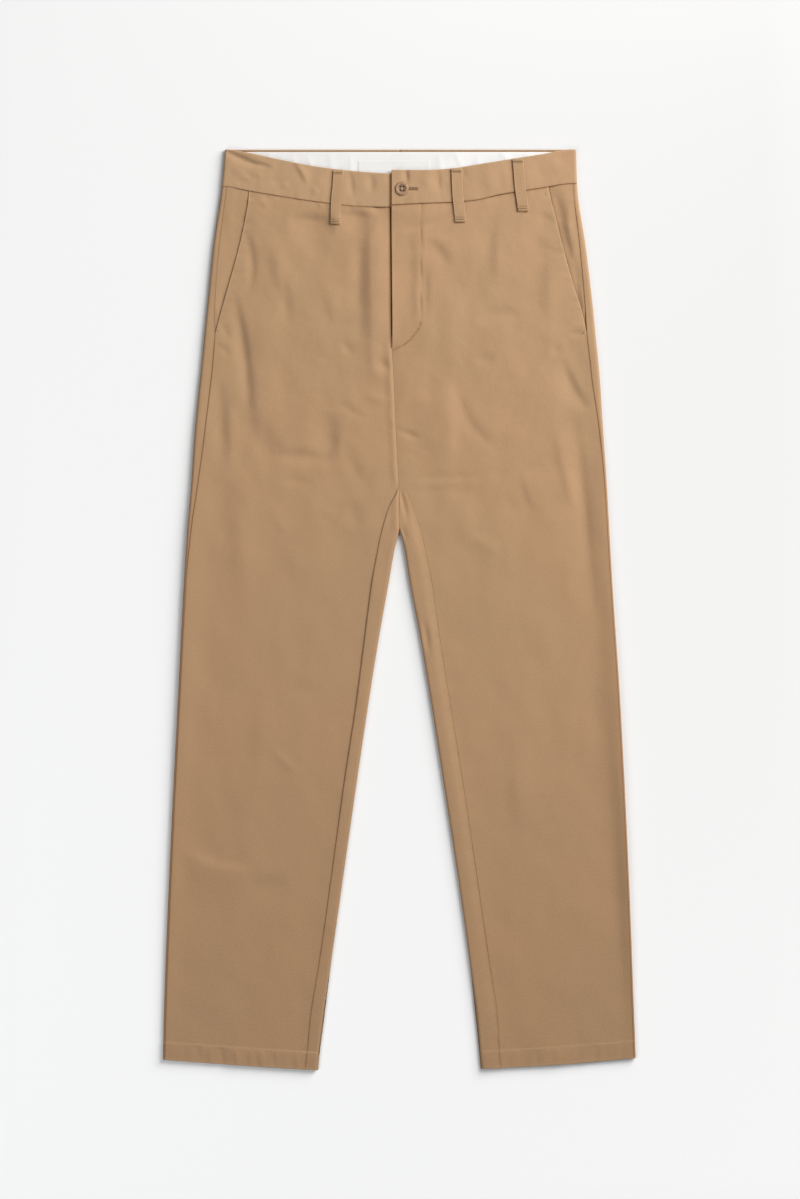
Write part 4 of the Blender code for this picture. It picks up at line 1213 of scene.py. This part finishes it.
LINING_COTTON = plain_cotton("plain_cotton_bleached", "#D6D4D2", "#CCCCCB", LINING_THREAD)
lining = flat_cloth("waistband_lining_cloth", LINING_X, LINING_DOWN, LINING_SEAT, LINING_WALL, LINING_COTTON)
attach(lining, "root")
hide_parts("waistband_lining")


# --- Label patch ---------------------------------------------------------------------------
# A bare patch of finer, natural off-white cotton. Its edges are turned under, and it is sewn flat
# to the middle of the lining.
LABEL_X, LABEL_DOWN = (-49.7, 36.7), (13.2, 40.0)
LABEL_SEAT, LABEL_WALL = LINING_SEAT + LINING_WALL + 0.03, 0.13
LABEL_THREAD = 0.0005
LABEL_COTTON = plain_cotton("plain_cotton_natural", "#D4D3D1", "#CBCAC7", LABEL_THREAD)
label = flat_cloth("label_patch_cloth", LABEL_X, LABEL_DOWN, LABEL_SEAT, LABEL_WALL, LABEL_COTTON, step=0.8)
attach(label, "root")
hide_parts("label_patch")


# --- Waistband -----------------------------------------------------------------------------
# Two halves of twill, each folded along its top edge over stiffening. A half runs from the fly
# across the front, round the side and along the back to the centre seam.
BAND_HEIGHT = 6.4
# How much paler than the legs each half of the band is tinted
BAND_PALENESS = {"right": 0.45, "left": 0.15}
BAND_ENDS = {"right": 30.0, "left": -9.5}
BAND_CRUMPLE, BAND_CRUMPLE_SCALE, BAND_CRUMPLE_SHIFT = 0.8, 1.3, 100.0
BACK_LIP, LIP_RISE = 2.5, 1.1
LINING_END = 6.5
BUTTONHOLE_DOWN = 46.9
BUTTONHOLE_START, BUTTONHOLE_END = 6.0, 21.6

# Columns in from a half's ends, round its side and along its back, and rows down from its edges
EDGE_STEPS = np.array((0, 0.1, 0.25, 0.5, 0.85, 1.3))
SIDE_STEPS = ROLL * (1 - np.cos(np.radians((90, 78, 66, 54, 42, 30, 20, 10, 0))))
LIP_STEPS = (1.9, BACK_LIP - 0.1, BACK_LIP, BACK_LIP + 0.1, 3.4)
NEAR_TOP = np.concatenate((EDGE_STEPS, LIP_STEPS))[:, None]
NEAR_SEAM = np.concatenate(((3.0, 2.0), EDGE_STEPS[::-1]))[:, None]

# Rounded borders (reach, depth), puckers along the seam, and then marks of rubbing and painted shade
# (strength, spread)
BAND_ROUND, BAND_SEAM_DIP = (0.9, 0.6), (1.2, 0.8)
BAND_PUCKERS, BAND_PUCKER_WIDTH = (0.2, 15.0, 0.9), 6.0
BUTTONHOLE_DIP, SLIT_SHADE = (0.4, 0.5), (1.0, 0.3)
WHIP_SHADE, WHIP_AT = (1.0, 0.5), 1.7
TOP_RUB, BACK_TOP_SHADE, TOP_WIDTH = 0.8, -0.5, 1.2
BAND_SEAM_SHADE = (1.0, 1.0)
UNDERLAP_SHADE, UNDERLAP_SHIFT = (1.4, 1.9), 1.5

# Creases of the waistband, as in the table of the legs' folds
BAND_FOLDS = table(
    "x0    down0    x1  down1  bow  minus  plus   rise",
    (-212,     1, -168,    20,   0,     5,    3, -2.60),
    (-182,    15, -152,    22,   0,     4,  2.5, -1.80),
    (-190,     4, -160,    13,   0,     4,    3,  0.70),
    (-183,    28, -176,    35,   0,     3,    3, -0.60),
    (-172,    29, -163,    34,   0,     3,    3,  0.60),
    (-156,    36, -140,    41,   0,     4,    4, -0.50),
    (-141,    38, -134,    48,   0,     4,    4,  0.60),
    (-203,    22, -184,    30,   0,     4,    5,  0.50),
    (-198,    36, -178,    41,   0,     4,    3, -0.50),
    (-126,    13, -110,    42,   1,     3,    5,  1.40),
    (-106,    44,  -96,    56,   0,     4,    4,  0.60),
    (-60,     26,  -56,    60,   1,     5,    3, -1.00),
    (-33,     30,  -33,    54,   0,     6,    4, -1.10),
    (8,       20,   10,    43,   0,     5,    2, -1.60),
    (24,      30,   40,    44,  -2,     6,    8,  0.45),
    (45,      20,   48,    52,   0,     9,    3, -1.30),
    (76,      19,   78,    36,   0,     4,    3, -0.80),
    (98,      22,  112,    50,   2,     8,   10,  0.55),
    (122,     16,  128,    52,   1,     5,    6,  0.45),
    (186,     10,  190,    34,   1,     7,    7,  0.50),
    (166,     12,  172,    40,   1,     6,    5, -0.35),
    (-96,     24,  -92,    58,   1,     6,    8,  0.40),
    (-146,    20, -140,    50,   1,     8,    6, -0.35),
)


def band_height(side, x, down):
    """Top of the waistband's front: level, lifted at the fly, with its own creases."""
    crumpled = crumple(BAND_CRUMPLE_SCALE * x, BAND_CRUMPLE_SCALE * down + BAND_CRUMPLE_SHIFT)
    creases = fold_relief(BAND_FOLDS, x, down) + BAND_CRUMPLE * crumpled
    return BAND_HEIGHT + fly_lift(side, x, down) + creases


def waistband(side):
    """Half the waistband on a grid round it: front ply, the roll at the side, then the back ply.

    The cloth is turned over the back ply's top edge, down to the lining.
    """
    top_edge = outer_edge(side, 0.0)
    front_width = abs(top_edge - BAND_ENDS[side])
    back_width = abs(top_edge) - SEAM_GAP / 2
    front = np.concatenate((front_width - EDGE_STEPS, (front_width - 2.0,),
                            np.linspace(front_width - 3.2, ROLL + 1.5, 150), SIDE_STEPS))
    back = np.concatenate((SIDE_STEPS[-2::-1], np.linspace(ROLL + 3, LINING_END - 0.2, 3),
                           np.linspace(LINING_END, back_width, 70)))
    inset = np.concatenate((front, back))
    on_top = np.arange(len(inset)) < len(front)

    place = top_edge - SIDES[side] * inset
    lean = 1 - inset / max(front_width, back_width)
    foot = place + (outer_edge(side, BACK_BAND_DEPTH) - top_edge) * lean
    top = np.where(on_top, along(BANDS[side], "top", place, key="x"), 0.0)
    seam = np.where(on_top, along(BANDS[side], "seam", foot, key="x"), back_band_seam(side, foot))
    share = np.linspace(0, 1, 26)[1:-1, None]
    middle = (top + NEAR_TOP[-1]) * (1 - share) + (seam - NEAR_SEAM[0]) * share
    down = np.concatenate((top + NEAR_TOP, middle, seam - NEAR_SEAM))
    x = place + (outer_edge(side, down) - top_edge) * lean

    to_top, to_seam = down - top, seam - down
    to_end = np.where(on_top, front_width - inset, FAR)
    in_hole = (side == "left") & (x > BUTTONHOLE_START) & (x < BUTTONHOLE_END)
    slit = np.where(in_hole, abs(down - BUTTONHOLE_DOWN), FAR)
    height = band_height(side, x, down) - bell(slit, *BUTTONHOLE_DIP)
    height = height + bell(to_seam, ripple(x, *BAND_PUCKERS), BAND_PUCKER_WIDTH)
    edges = fall(to_top, *BAND_ROUND) + fall(to_end, *BAND_ROUND)
    lip = np.where(on_top | (inset <= LINING_END), 0.0, LIP_RISE)
    lip = lip * (1 - ease(to_top, BACK_LIP - 0.3, BACK_LIP + 0.05))
    rubbing_and_shade = BAND_PALENESS[side] + bell(to_top, np.where(on_top, TOP_RUB, BACK_TOP_SHADE), TOP_WIDTH)
    rubbing_and_shade = rubbing_and_shade - mark(to_seam, *BAND_SEAM_SHADE) - LOOP_SHADE * on_top * beside_loops(x, down)
    rubbing_and_shade = rubbing_and_shade - bell(slit - WHIP_AT, *WHIP_SHADE) - bell(slit, *SLIT_SHADE)
    if side == "right":
        # Painted shade on the right half where the left half's end stands over it
        rubbing_and_shade = rubbing_and_shade - bell(x - BAND_ENDS["left"] + UNDERLAP_SHIFT, *UNDERLAP_SHADE) * on_top
    sink = edges + fall(to_seam, *BAND_SEAM_DIP)
    outer, inner = skin(side, x, down, on_top, BAND_WALL + lip - edges, height, sink)
    return shell("waistband_cloth_" + side, [(outer, inner, np.clip(rubbing_and_shade, -1, 1))], TWILL)


for side in SIDES:
    piece = waistband(side)
    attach(piece, "root")
    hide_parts("waistband_" + side)


# --- Belt loops ----------------------------------------------------------------------------
# Narrow strips of twill with their edges turned in. Both ends are turned under and bar-tacked, the
# upper one to the band's top edge and the lower one to the leg, and the middle stands clear.
LOOP_WALL, LOOP_FOLDED_WALL = 1.1, 1.6
LOOP_ARCH, LOOP_ARCH_EASE = 0.8, (6.0, 15.0)
LOOP_BOW, LOOP_BOW_PACE = 0.35, 2.6 * math.pi
LOOP_END_STEPS = np.array((0, 0.12, 0.3, 0.55, 0.9, 1.4, 2.0, 2.8))
LOOP_NARROWING = (2.2, 0.22)
LOOP_SIDE_ROUND, LOOP_END_ROUND = (0.9, 0.5), (1.3, 0.75)
LOOP_GROOVE, LOOP_GROOVE_AT = (0.22, 0.5), 1.5
LOOP_TURN, LOOP_TURN_AT = (0.3, 0.8), 5.2
LOOP_SIDE_RUB, LOOP_END_RUB, LOOP_TURN_SHADE = (0.7, 0.9), (0.6, 1.2), (0.5, 0.8)


def top_surface(side, x, down):
    """Top of whatever lies under a belt loop: the waistband, or the front below it."""
    seam = along(BANDS[side], "seam", x, key="x")
    front = front_height(side, x, down)
    return np.where(down < seam + 3, np.maximum(band_height(side, x, down), front), front)


def belt_loop(node, x_top, down_top, x_foot, down_foot, width):
    """Folded strip on a grid along and across it, with round edges and a bow between its ends."""
    side = "right" if x_top < 0 else "left"
    length = math.hypot(x_foot - x_top, down_foot - down_top)
    ends, edges = LOOP_END_STEPS / length, EDGE_STEPS / width
    share = np.concatenate((ends, np.linspace(ends[-1], 1 - ends[-1], 44)[1:-1], 1 - ends[::-1]))
    across = np.concatenate((edges, np.linspace(edges[-1], 1 - edges[-1], 11)[1:-1], 1 - edges[::-1])) - 0.5
    across, share = np.meshgrid(across, share)
    from_end = np.minimum(share, 1 - share) * length
    from_edge = (0.5 - abs(across)) * width
    bow = LOOP_BOW * np.sin(LOOP_BOW_PACE * share + width)
    x = x_top + (x_foot - x_top) * share + width * across * (1 - fall(from_end, *LOOP_NARROWING)) + bow
    down = down_top + (down_foot - down_top) * share
    clear = ease(from_end, *LOOP_ARCH_EASE)
    under = top_surface(side, x, down) + SEAM_GAP + LOOP_ARCH * clear
    thick = LOOP_FOLDED_WALL + (LOOP_WALL - LOOP_FOLDED_WALL) * clear
    dips = bell(from_edge - LOOP_GROOVE_AT, *LOOP_GROOVE) * clear + bell(from_end - LOOP_TURN_AT, *LOOP_TURN)
    rounding = fall(from_edge, *LOOP_SIDE_ROUND) + fall(from_end, *LOOP_END_ROUND)
    outer = np.stack((x, down, under + thick - rounding - dips), axis=-1)
    inner = np.stack((x, down, under + 0.5 * rounding), axis=-1)
    rubbing_and_shade = bell(from_edge, *LOOP_SIDE_RUB) + bell(from_end, *LOOP_END_RUB)
    rubbing_and_shade = rubbing_and_shade - bell(from_end - LOOP_TURN_AT, *LOOP_TURN_SHADE)
    return shell(node + "_cloth", [(outer, inner, rubbing_and_shade)], TWILL)


for row in BELT_LOOPS:
    piece = belt_loop(*row)
    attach(piece, "root")
    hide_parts(row[0])


# --- Sewing --------------------------------------------------------------------------------
# Core-spun thread dyed to the cloth: lockstitch round the fly, along both hems and in the waist
# seam, and dense bar tacks across the loops' ends and the pocket mouths' ends.
STITCH_WAY = np.array((-1.0, -0.86, -0.5, 0.0, 0.5, 0.86, 1.0))[:, None]
STITCH_SIDES = 6
STITCH_SINK, STITCH_DIVE, STITCH_ARCH = 0.08, 0.12, 0.12
TWIST = 0.0004


def spun_thread(name, body, deep):
    """Core-spun polyester and cotton thread: slightly glossier than the cloth, with a fine twist."""
    material, shader = new_material(name)
    place = add_node(material, "TexCoord").outputs["Object"]
    strands = add_node(material, "TexWave", {
        "Vector": place, "Scale": WAVE_UNIT / TWIST, "Distortion": 1.0},
        bands_direction="DIAGONAL").outputs["Fac"]
    bump = add_node(material, "Bump", {"Strength": 0.4, "Distance": 0.00005, "Height": strands}).outputs[0]
    set_sockets(material, shader, {
        "Base Color": tinted(material, linear(deep), ((strands, 0.0, 1.0, 0.0, 1.0, body),)),
        "Normal": bump, "Roughness": 0.6, "Sheen Weight": 0.1})
    return material


def tube_quads(rings, sides):
    """Numbers of a tube's points, a row for each ring, and the quads between neighbouring rings."""
    ring = np.arange(rings * sides).reshape(rings, sides)
    around = np.roll(ring, -1, axis=1)
    return ring, np.stack((ring[:-1], around[:-1], around[1:], ring[1:]), axis=-1).reshape(-1, 4)


def stitches(name, x, down, heading, length, height, finish, radius, arch=STITCH_ARCH):
    """One mesh of sewn stitches: for each place, a short round strand that bows up and dives at its
    ends. Radius follows the square root of 1 less the fourth power of the way along it."""
    x, down, heading, length, height = (
        value[:, None, None] for value in np.broadcast_arrays(x, down, heading, length, height))
    turn = np.arange(STITCH_SIDES) * 2 * math.pi / STITCH_SIDES
    thick = radius * np.sqrt(np.maximum(1 - STITCH_WAY ** 4, 0.04))
    out = thick * np.cos(turn)
    rise = thick * np.sin(turn) + arch * (1 - STITCH_WAY ** 2) - STITCH_DIVE * abs(STITCH_WAY) ** 6
    reach = STITCH_WAY * length / 2
    points = np.stack(np.broadcast_arrays(
        x + reach * np.cos(heading) - out * np.sin(heading),
        TOTAL_LENGTH / 2 - (down + reach * np.sin(heading) + out * np.cos(heading)),
        height + radius - STITCH_SINK + rise), axis=-1).reshape(-1, 3) * MM
    ring, quads = tube_quads(len(STITCH_WAY), STITCH_SIDES)
    start = np.arange(len(x))[:, None, None] * ring.size
    caps = np.concatenate((start + ring[:1, ::-1], start + ring[-1:]), axis=1).reshape(-1, STITCH_SIDES)
    mesh = bpy.data.meshes.new(name)
    mesh.from_pydata(points.tolist(), [], (start + quads).reshape(-1, 4).tolist() + caps.tolist())
    return add_piece(name, mesh, finish)


def bar_tack(x, down, heading, width, count):
    """Places of a bar tack's strands: close together across its width, all along the heading."""
    step = (np.arange(count) - (count - 1) / 2) * width / count
    return x - step * math.sin(heading), down + step * math.cos(heading), np.full(count, heading)


THREAD = spun_thread("core_spun_thread_tan", "#A88B69", "#866A4A")

# Rows of stitches: start, end and spacing
FLY_STITCHES = (1.5, FLY_WAY, 3.0)
HEM_STITCHES = (118, 280, 3.4)
DITCH_STITCHES = (-66, -14, 2.6)
fly_x, fly_down = fly_line(np.arange(*FLY_STITCHES))
fly_heading = np.arctan2(np.gradient(fly_down), np.gradient(fly_x))
fly_height = front_height("left", fly_x, fly_down)
keep = fly_down > along(BANDS["left"], "seam", fly_x, key="x") + 2
sewing = [stitches("fly_stitching", fly_x[keep], fly_down[keep], fly_heading[keep], 2.3, fly_height[keep],
                   THREAD, 0.17)]

for side in SIDES:
    hem_x = SIDES[side] * np.arange(*HEM_STITCHES)
    hem_down = hem_line(side, hem_x) - HEM_DEPTH
    hem_heading = np.arctan2(np.gradient(hem_down), np.gradient(hem_x))
    sewing.append(stitches("hem_stitching_" + side, hem_x, hem_down, hem_heading, 2.5,
                           front_height(side, hem_x, hem_down), THREAD, 0.17))

ditch_x = np.arange(*DITCH_STITCHES)
ditch_down = along(BANDS["right"], "seam", ditch_x, key="x") + 0.1
sewing.append(stitches("waist_seam_stitching", ditch_x, ditch_down, 0.07, 1.7,
                       band_height("right", ditch_x, ditch_down) - 0.65, THREAD, 0.16))

TACK_STRANDS, TACK_MARGIN = 19, 2.2
TACK_FROM_TOP, TACK_FROM_FOOT = 3.6, 3.0
for node, x_top, down_top, x_foot, down_foot, width in BELT_LOOPS:
    side = "right" if x_top < 0 else "left"
    length = math.hypot(x_foot - x_top, down_foot - down_top)
    share = np.repeat((TACK_FROM_TOP / length, 1 - TACK_FROM_FOOT / length), TACK_STRANDS)
    spread = np.tile(np.linspace(-0.5, 0.5, TACK_STRANDS), 2)
    tack_x = x_top + (x_foot - x_top) * share + spread * (width - TACK_MARGIN)
    tack_down = down_top + (down_foot - down_top) * share
    tack_height = top_surface(side, tack_x, tack_down) + SEAM_GAP + LOOP_FOLDED_WALL
    sewing.append(stitches(node + "_tacks", tack_x, tack_down, math.pi / 2 - 0.12, 1.6, tack_height,
                           THREAD, 0.2))

POCKET_TACKS = (
    # side    x       down   heading width count length
    ("left",  222.0,  219.0, -0.55,  1.3,  6,    5.0),
    ("left",  176.0,  54.0,  1.35,   1.0,  4,    3.0),
    ("right", -217.6, 217.0, 0.5,    1.2,  5,    4.2),
    ("right", -178.0, 56.5,  1.75,   1.0,  4,    3.0),
)
for order, (side, x, down, heading, width, count, length) in enumerate(POCKET_TACKS):
    tack_x, tack_down, tack_heading = bar_tack(x, down, heading, width, count)
    sewing.append(stitches("pocket_tack_%d" % order, tack_x, tack_down, tack_heading, length,
                           front_height(side, tack_x, tack_down), THREAD, 0.18))

for piece in sewing:
    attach(piece, "root")


# --- Button and buttonhole -----------------------------------------------------------------
# A four-hole button turned from brown polyester resin, with a raised rim round a dish. It is sewn
# on with a cross of pale thread, and its hole is edged with whipped stitches.
BUTTON_X, BUTTON_DOWN = 3.0, 47.3
BUTTON_RADIUS = 8.0
HOLE_RADIUS = 1.2
HOLE_OFFSET = 1.75
HOLE_DEPTH = 1.1
BUTTON_LIFT = 0.1

# Turned section, from the middle of the back round the rim to the middle of the dish
BUTTON_SECTION = table(
    "way  radius  height",
    (0,      0.0,    0.0),
    (1,      5.6,    0.0),
    (2,      7.2,    0.3),
    (3,     7.95,    0.8),
    (4,      8.0,    1.2),
    (5,      7.7,    1.6),
    (6,      6.8,    1.9),
    (7,      5.3,   1.85),
    (8,      4.4,    1.4),
    (9,      3.9,   1.22),
    (12,     0.0,    1.2),
)
RIM_WAY, DISH_WAY = 7, 8

# Painted shade round the dish's edge and over the dish, and a painted contact shadow round the rim
DISH_EDGE, DISH_EDGE_SHADE = 4.3, (0.55, 0.4)
DISH_SHADE, DISH_SHADE_EASE = 0.28, (3.8, 4.6)
RIM_SHADE = (0.5, 0.3)


def turned_resin(name, body, deep, pale, painted_shade):
    """Cast polyester resin, turned and tumbled: glossy, with faint drifting streaks of colour. Where the
    wear-and-shade attribute is high, a near-black painted shade goes over it.
    """
    material, shader = new_material(name)
    place = add_node(material, "TexCoord").outputs["Object"]
    drift = add_node(material, "TexNoise", {
        "Vector": place, "Scale": 420.0, "Detail": 4.0, "Distortion": 1.6}).outputs["Fac"]
    streak = add_node(material, "TexNoise", {"Vector": place, "Scale": 1500.0, "Detail": 2.0}).outputs["Fac"]
    wear_and_shade = add_node(material, "Attribute", attribute_name="wear_and_shade").outputs["Fac"]
    colour = tinted(material, linear(deep), (
        (drift,  0.35, 0.65, 0.0, 1.0, body),
        (streak, 0.58, 0.75, 0.0, 0.5, pale),
        (wear_and_shade,   0.00, 1.00, 0.0, 1.0, painted_shade),
    ))
    set_sockets(material, shader, {"Base Color": colour, "Roughness": 0.42, "IOR": 1.54})
    return material


def turned_button():
    """Section carried round an axis, with four round holes let into the dish from above. Painted shade lies
    in the holes, over the dish and round the rim's foot.
    """
    way = np.concatenate((np.linspace(0.12, 1, 5), np.linspace(1.15, 9, 60), np.linspace(9.05, 11.9, 52)))
    radius, level = (along(BUTTON_SECTION, name, way, key="way")[:, None] for name in ("radius", "height"))
    turn = np.linspace(0, 2 * math.pi, 145)[None, :-1]
    x, y = radius * np.cos(turn), radius * np.sin(turn)
    to_hole = np.hypot(abs(x) - HOLE_OFFSET, abs(y) - HOLE_OFFSET)
    bored = 1 - ease(to_hole, HOLE_RADIUS - 0.16, HOLE_RADIUS + 0.06)
    z = level - HOLE_DEPTH * bored * (way[:, None] > DISH_WAY)
    poles = ((0.0, 0.0, 0.0), (0.0, 0.0, BUTTON_SECTION["height"][-1]))
    points = np.concatenate((np.stack((x, y, z), axis=-1).reshape(-1, 3), poles))
    points = points + (BUTTON_X, TOTAL_LENGTH / 2 - BUTTON_DOWN, button_seat)
    ring, quads = tube_quads(*z.shape)
    pole = np.full(len(ring[0]), ring.size)
    fans = np.concatenate((np.stack((pole, np.roll(ring[0], -1), ring[0]), axis=-1),
                           np.stack((pole + 1, ring[-1], np.roll(ring[-1], -1)), axis=-1)))
    mesh = bpy.data.meshes.new("button_turned")
    mesh.from_pydata((points * MM).tolist(), [], quads.tolist() + fans.tolist())
    # Painted shade: dark in the holes and round the dish's edge, lighter over the dish, and a contact shadow
    # round the rim
    in_dish = bell(radius - DISH_EDGE, *DISH_EDGE_SHADE) + DISH_SHADE * (1 - ease(radius, *DISH_SHADE_EASE))
    in_holes = 1 - ease(to_hole, HOLE_RADIUS - 0.1, HOLE_RADIUS + 0.2)
    button_shade = np.maximum(in_dish, in_holes) * (way[:, None] > RIM_WAY)
    button_shade = button_shade + bell(radius - BUTTON_RADIUS, *RIM_SHADE)
    wear_and_shade = mesh.attributes.new("wear_and_shade", "FLOAT", "POINT")
    wear_and_shade.data.foreach_set("value", np.concatenate((button_shade.ravel(), (0.0, 0.0))))
    return add_piece("button_turned", mesh, RESIN)


# The last colour is the painted shade of the holes, the dish and the rim
RESIN = turned_resin("polyester_resin_turned", "#A07E60", "#866446", "#BE9F80", "#21140A")
button_seat = float(band_height("left", np.array(BUTTON_X), np.array(BUTTON_DOWN))) + BUTTON_LIFT
button = turned_button()
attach(button, "root")
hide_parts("button")

# Two strands cross from hole to hole, and the pair on top lies on the pair below
CROSS_X = BUTTON_X + 0.16 * np.array((1, -1, 1, -1))
CROSS_DOWN = BUTTON_DOWN + 0.16 * np.array((1, -1, -1, 1))
CROSS_HEADING = math.pi / 4 * np.array((-1, -1, 1, 1))
CROSS_HEIGHT = button_seat + BUTTON_SECTION["height"][-1] + 0.2 * np.array((0, 0, 1, 1))
PALE_THREAD = spun_thread("core_spun_thread_pale", "#CDB48C", "#A88C64")
button_thread = stitches("button_thread", CROSS_X, CROSS_DOWN, CROSS_HEADING, 2 * HOLE_OFFSET * math.sqrt(2),
                         CROSS_HEIGHT, PALE_THREAD, 0.2, arch=0.1)

# Whipping lies across both sides of the buttonhole, and fans out round its end
WHIP_OUT, WHIP_STEP, WHIP_LEAN = 0.8, 0.42, 0.1
whip = np.arange(BUTTON_X + BUTTON_RADIUS - 2, BUTTONHOLE_END, WHIP_STEP)
both = np.repeat((-1.0, 1.0), len(whip))
fan = np.radians(np.linspace(-80, 80, 9))
whip_x = np.concatenate((whip, whip, BUTTONHOLE_END + WHIP_OUT * np.cos(fan)))
whip_down = BUTTONHOLE_DOWN + WHIP_OUT * np.concatenate((both, np.sin(fan)))
whip_heading = np.concatenate((math.pi / 2 + WHIP_LEAN * both, fan))
HOLE_THREAD = spun_thread("core_spun_thread_buttonhole", "#9A7A50", "#6A4A2A")
whipping = stitches("buttonhole_whipping", whip_x, whip_down, whip_heading, 1.3,
                    band_height("left", whip_x, whip_down) - 0.03, HOLE_THREAD, 0.24, arch=0.2)
for piece in (button_thread, whipping):
    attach(piece, "root")


# --- Table, light and camera ---------------------------------------------------------------
# The trousers lie on a plain pale surface. One large soft lamp stands beyond the waist on the
# wearer's left, and a wide overhead one fills the shadows.
FLOOR_REACH = 3.0
FLOOR_DROP = 0.0006
FLOOR_TONES = {"waist": ("#E8E8E8", "#C1C1C1"), "hem": ("#F5F5F5", "#F5F5F5")}
CAMERA_PLACE = (0.0007, 0.0125, 5.0)
SENSOR = 36.0
VIEW_LENGTH = 1.4388          # longer side of the field of view on the floor
KEY_PLACE = (1.58, 1.36, 1.47)
KEY_AIM = (0.0, 0.05, 0.0)
KEY_SIZE = 2.1
KEY_POWER = 116.0
FILL_PLACE = (-1.45, -1.0, 1.83)
FILL_AIM = (-1.45, -1.0, 0.0)
FILL_SIZE = 1.84
FILL_POWER = 26.8
ROOM_LIGHT = 0.135


def pale_floor():
    """Matt laminated board whose tone drifts across it, so that the lamps' falloff is evened out."""
    material, shader = new_material("matt_laminate_white")
    place = add_node(material, "TexCoord").outputs["Object"]
    split = add_node(material, "SeparateXYZ", {0: place}).outputs
    to_left, to_hem = (add_node(material, "MapRange", {
        "Value": split[axis], "From Min": start, "From Max": end}).outputs[0]
        for axis, start, end in (("X", -0.44, 0.44), ("Y", 0.66, -0.68)))
    to_hem = add_node(material, "Math", {0: to_hem, 1: 1.55}, operation="POWER").outputs[0]
    waist, hem = (tinted(material, linear(right), ((to_left, 0.0, 1.0, 0.0, 1.0, left),))
                  for right, left in FLOOR_TONES.values())
    colour = add_node(material, "Mix", {0: to_hem, 6: waist, 7: hem}, data_type="RGBA").outputs[2]
    set_sockets(material, shader, {"Base Color": colour, "Roughness": 0.9, "Specular IOR Level": 0.2})
    return material


def add_lamp(name, place, aim, size, power, colour):
    """Square area lamp at a place, turned towards a point."""
    lamp = bpy.data.lights.new(name, "AREA")
    lamp.size = size
    lamp.energy = power
    lamp.color = colour
    made = bpy.data.objects.new(name, lamp)
    made.location = place
    direction = np.array(aim) - np.array(place)
    made.rotation_euler = (
        math.acos(-direction[2] / np.linalg.norm(direction)), 0.0,
        math.atan2(direction[1], direction[0]) - math.pi / 2)
    bpy.context.scene.collection.objects.link(made)


floor_mesh = bpy.data.meshes.new("floor")
floor_mesh.from_pydata([(FLOOR_REACH * x, FLOOR_REACH * y, -FLOOR_DROP)
                        for x, y in ((-1, -1), (1, -1), (1, 1), (-1, 1))], [], [(0, 1, 2, 3)])
floor = add_piece("floor", floor_mesh, pale_floor())

add_lamp("key_lamp", KEY_PLACE, KEY_AIM, KEY_SIZE, KEY_POWER, (1.0, 0.992, 0.980))
add_lamp("fill_lamp", FILL_PLACE, FILL_AIM, FILL_SIZE, FILL_POWER, (0.97, 0.985, 1.0))
world = bpy.data.worlds.new("soft_room")
world.use_nodes = True
world.node_tree.nodes["Background"].inputs["Color"].default_value = (0.95, 0.975, 1.0, 1.0)
world.node_tree.nodes["Background"].inputs["Strength"].default_value = ROOM_LIGHT
bpy.context.scene.world = world
bpy.context.scene.view_settings.view_transform = "Standard"

camera_data = bpy.data.cameras.new("camera")
camera_data.sensor_width = SENSOR
camera_data.lens = SENSOR * CAMERA_PLACE[2] / VIEW_LENGTH
camera = bpy.data.objects.new("camera", camera_data)
camera.location = CAMERA_PLACE
bpy.context.scene.collection.objects.link(camera)
bpy.context.scene.camera = camera
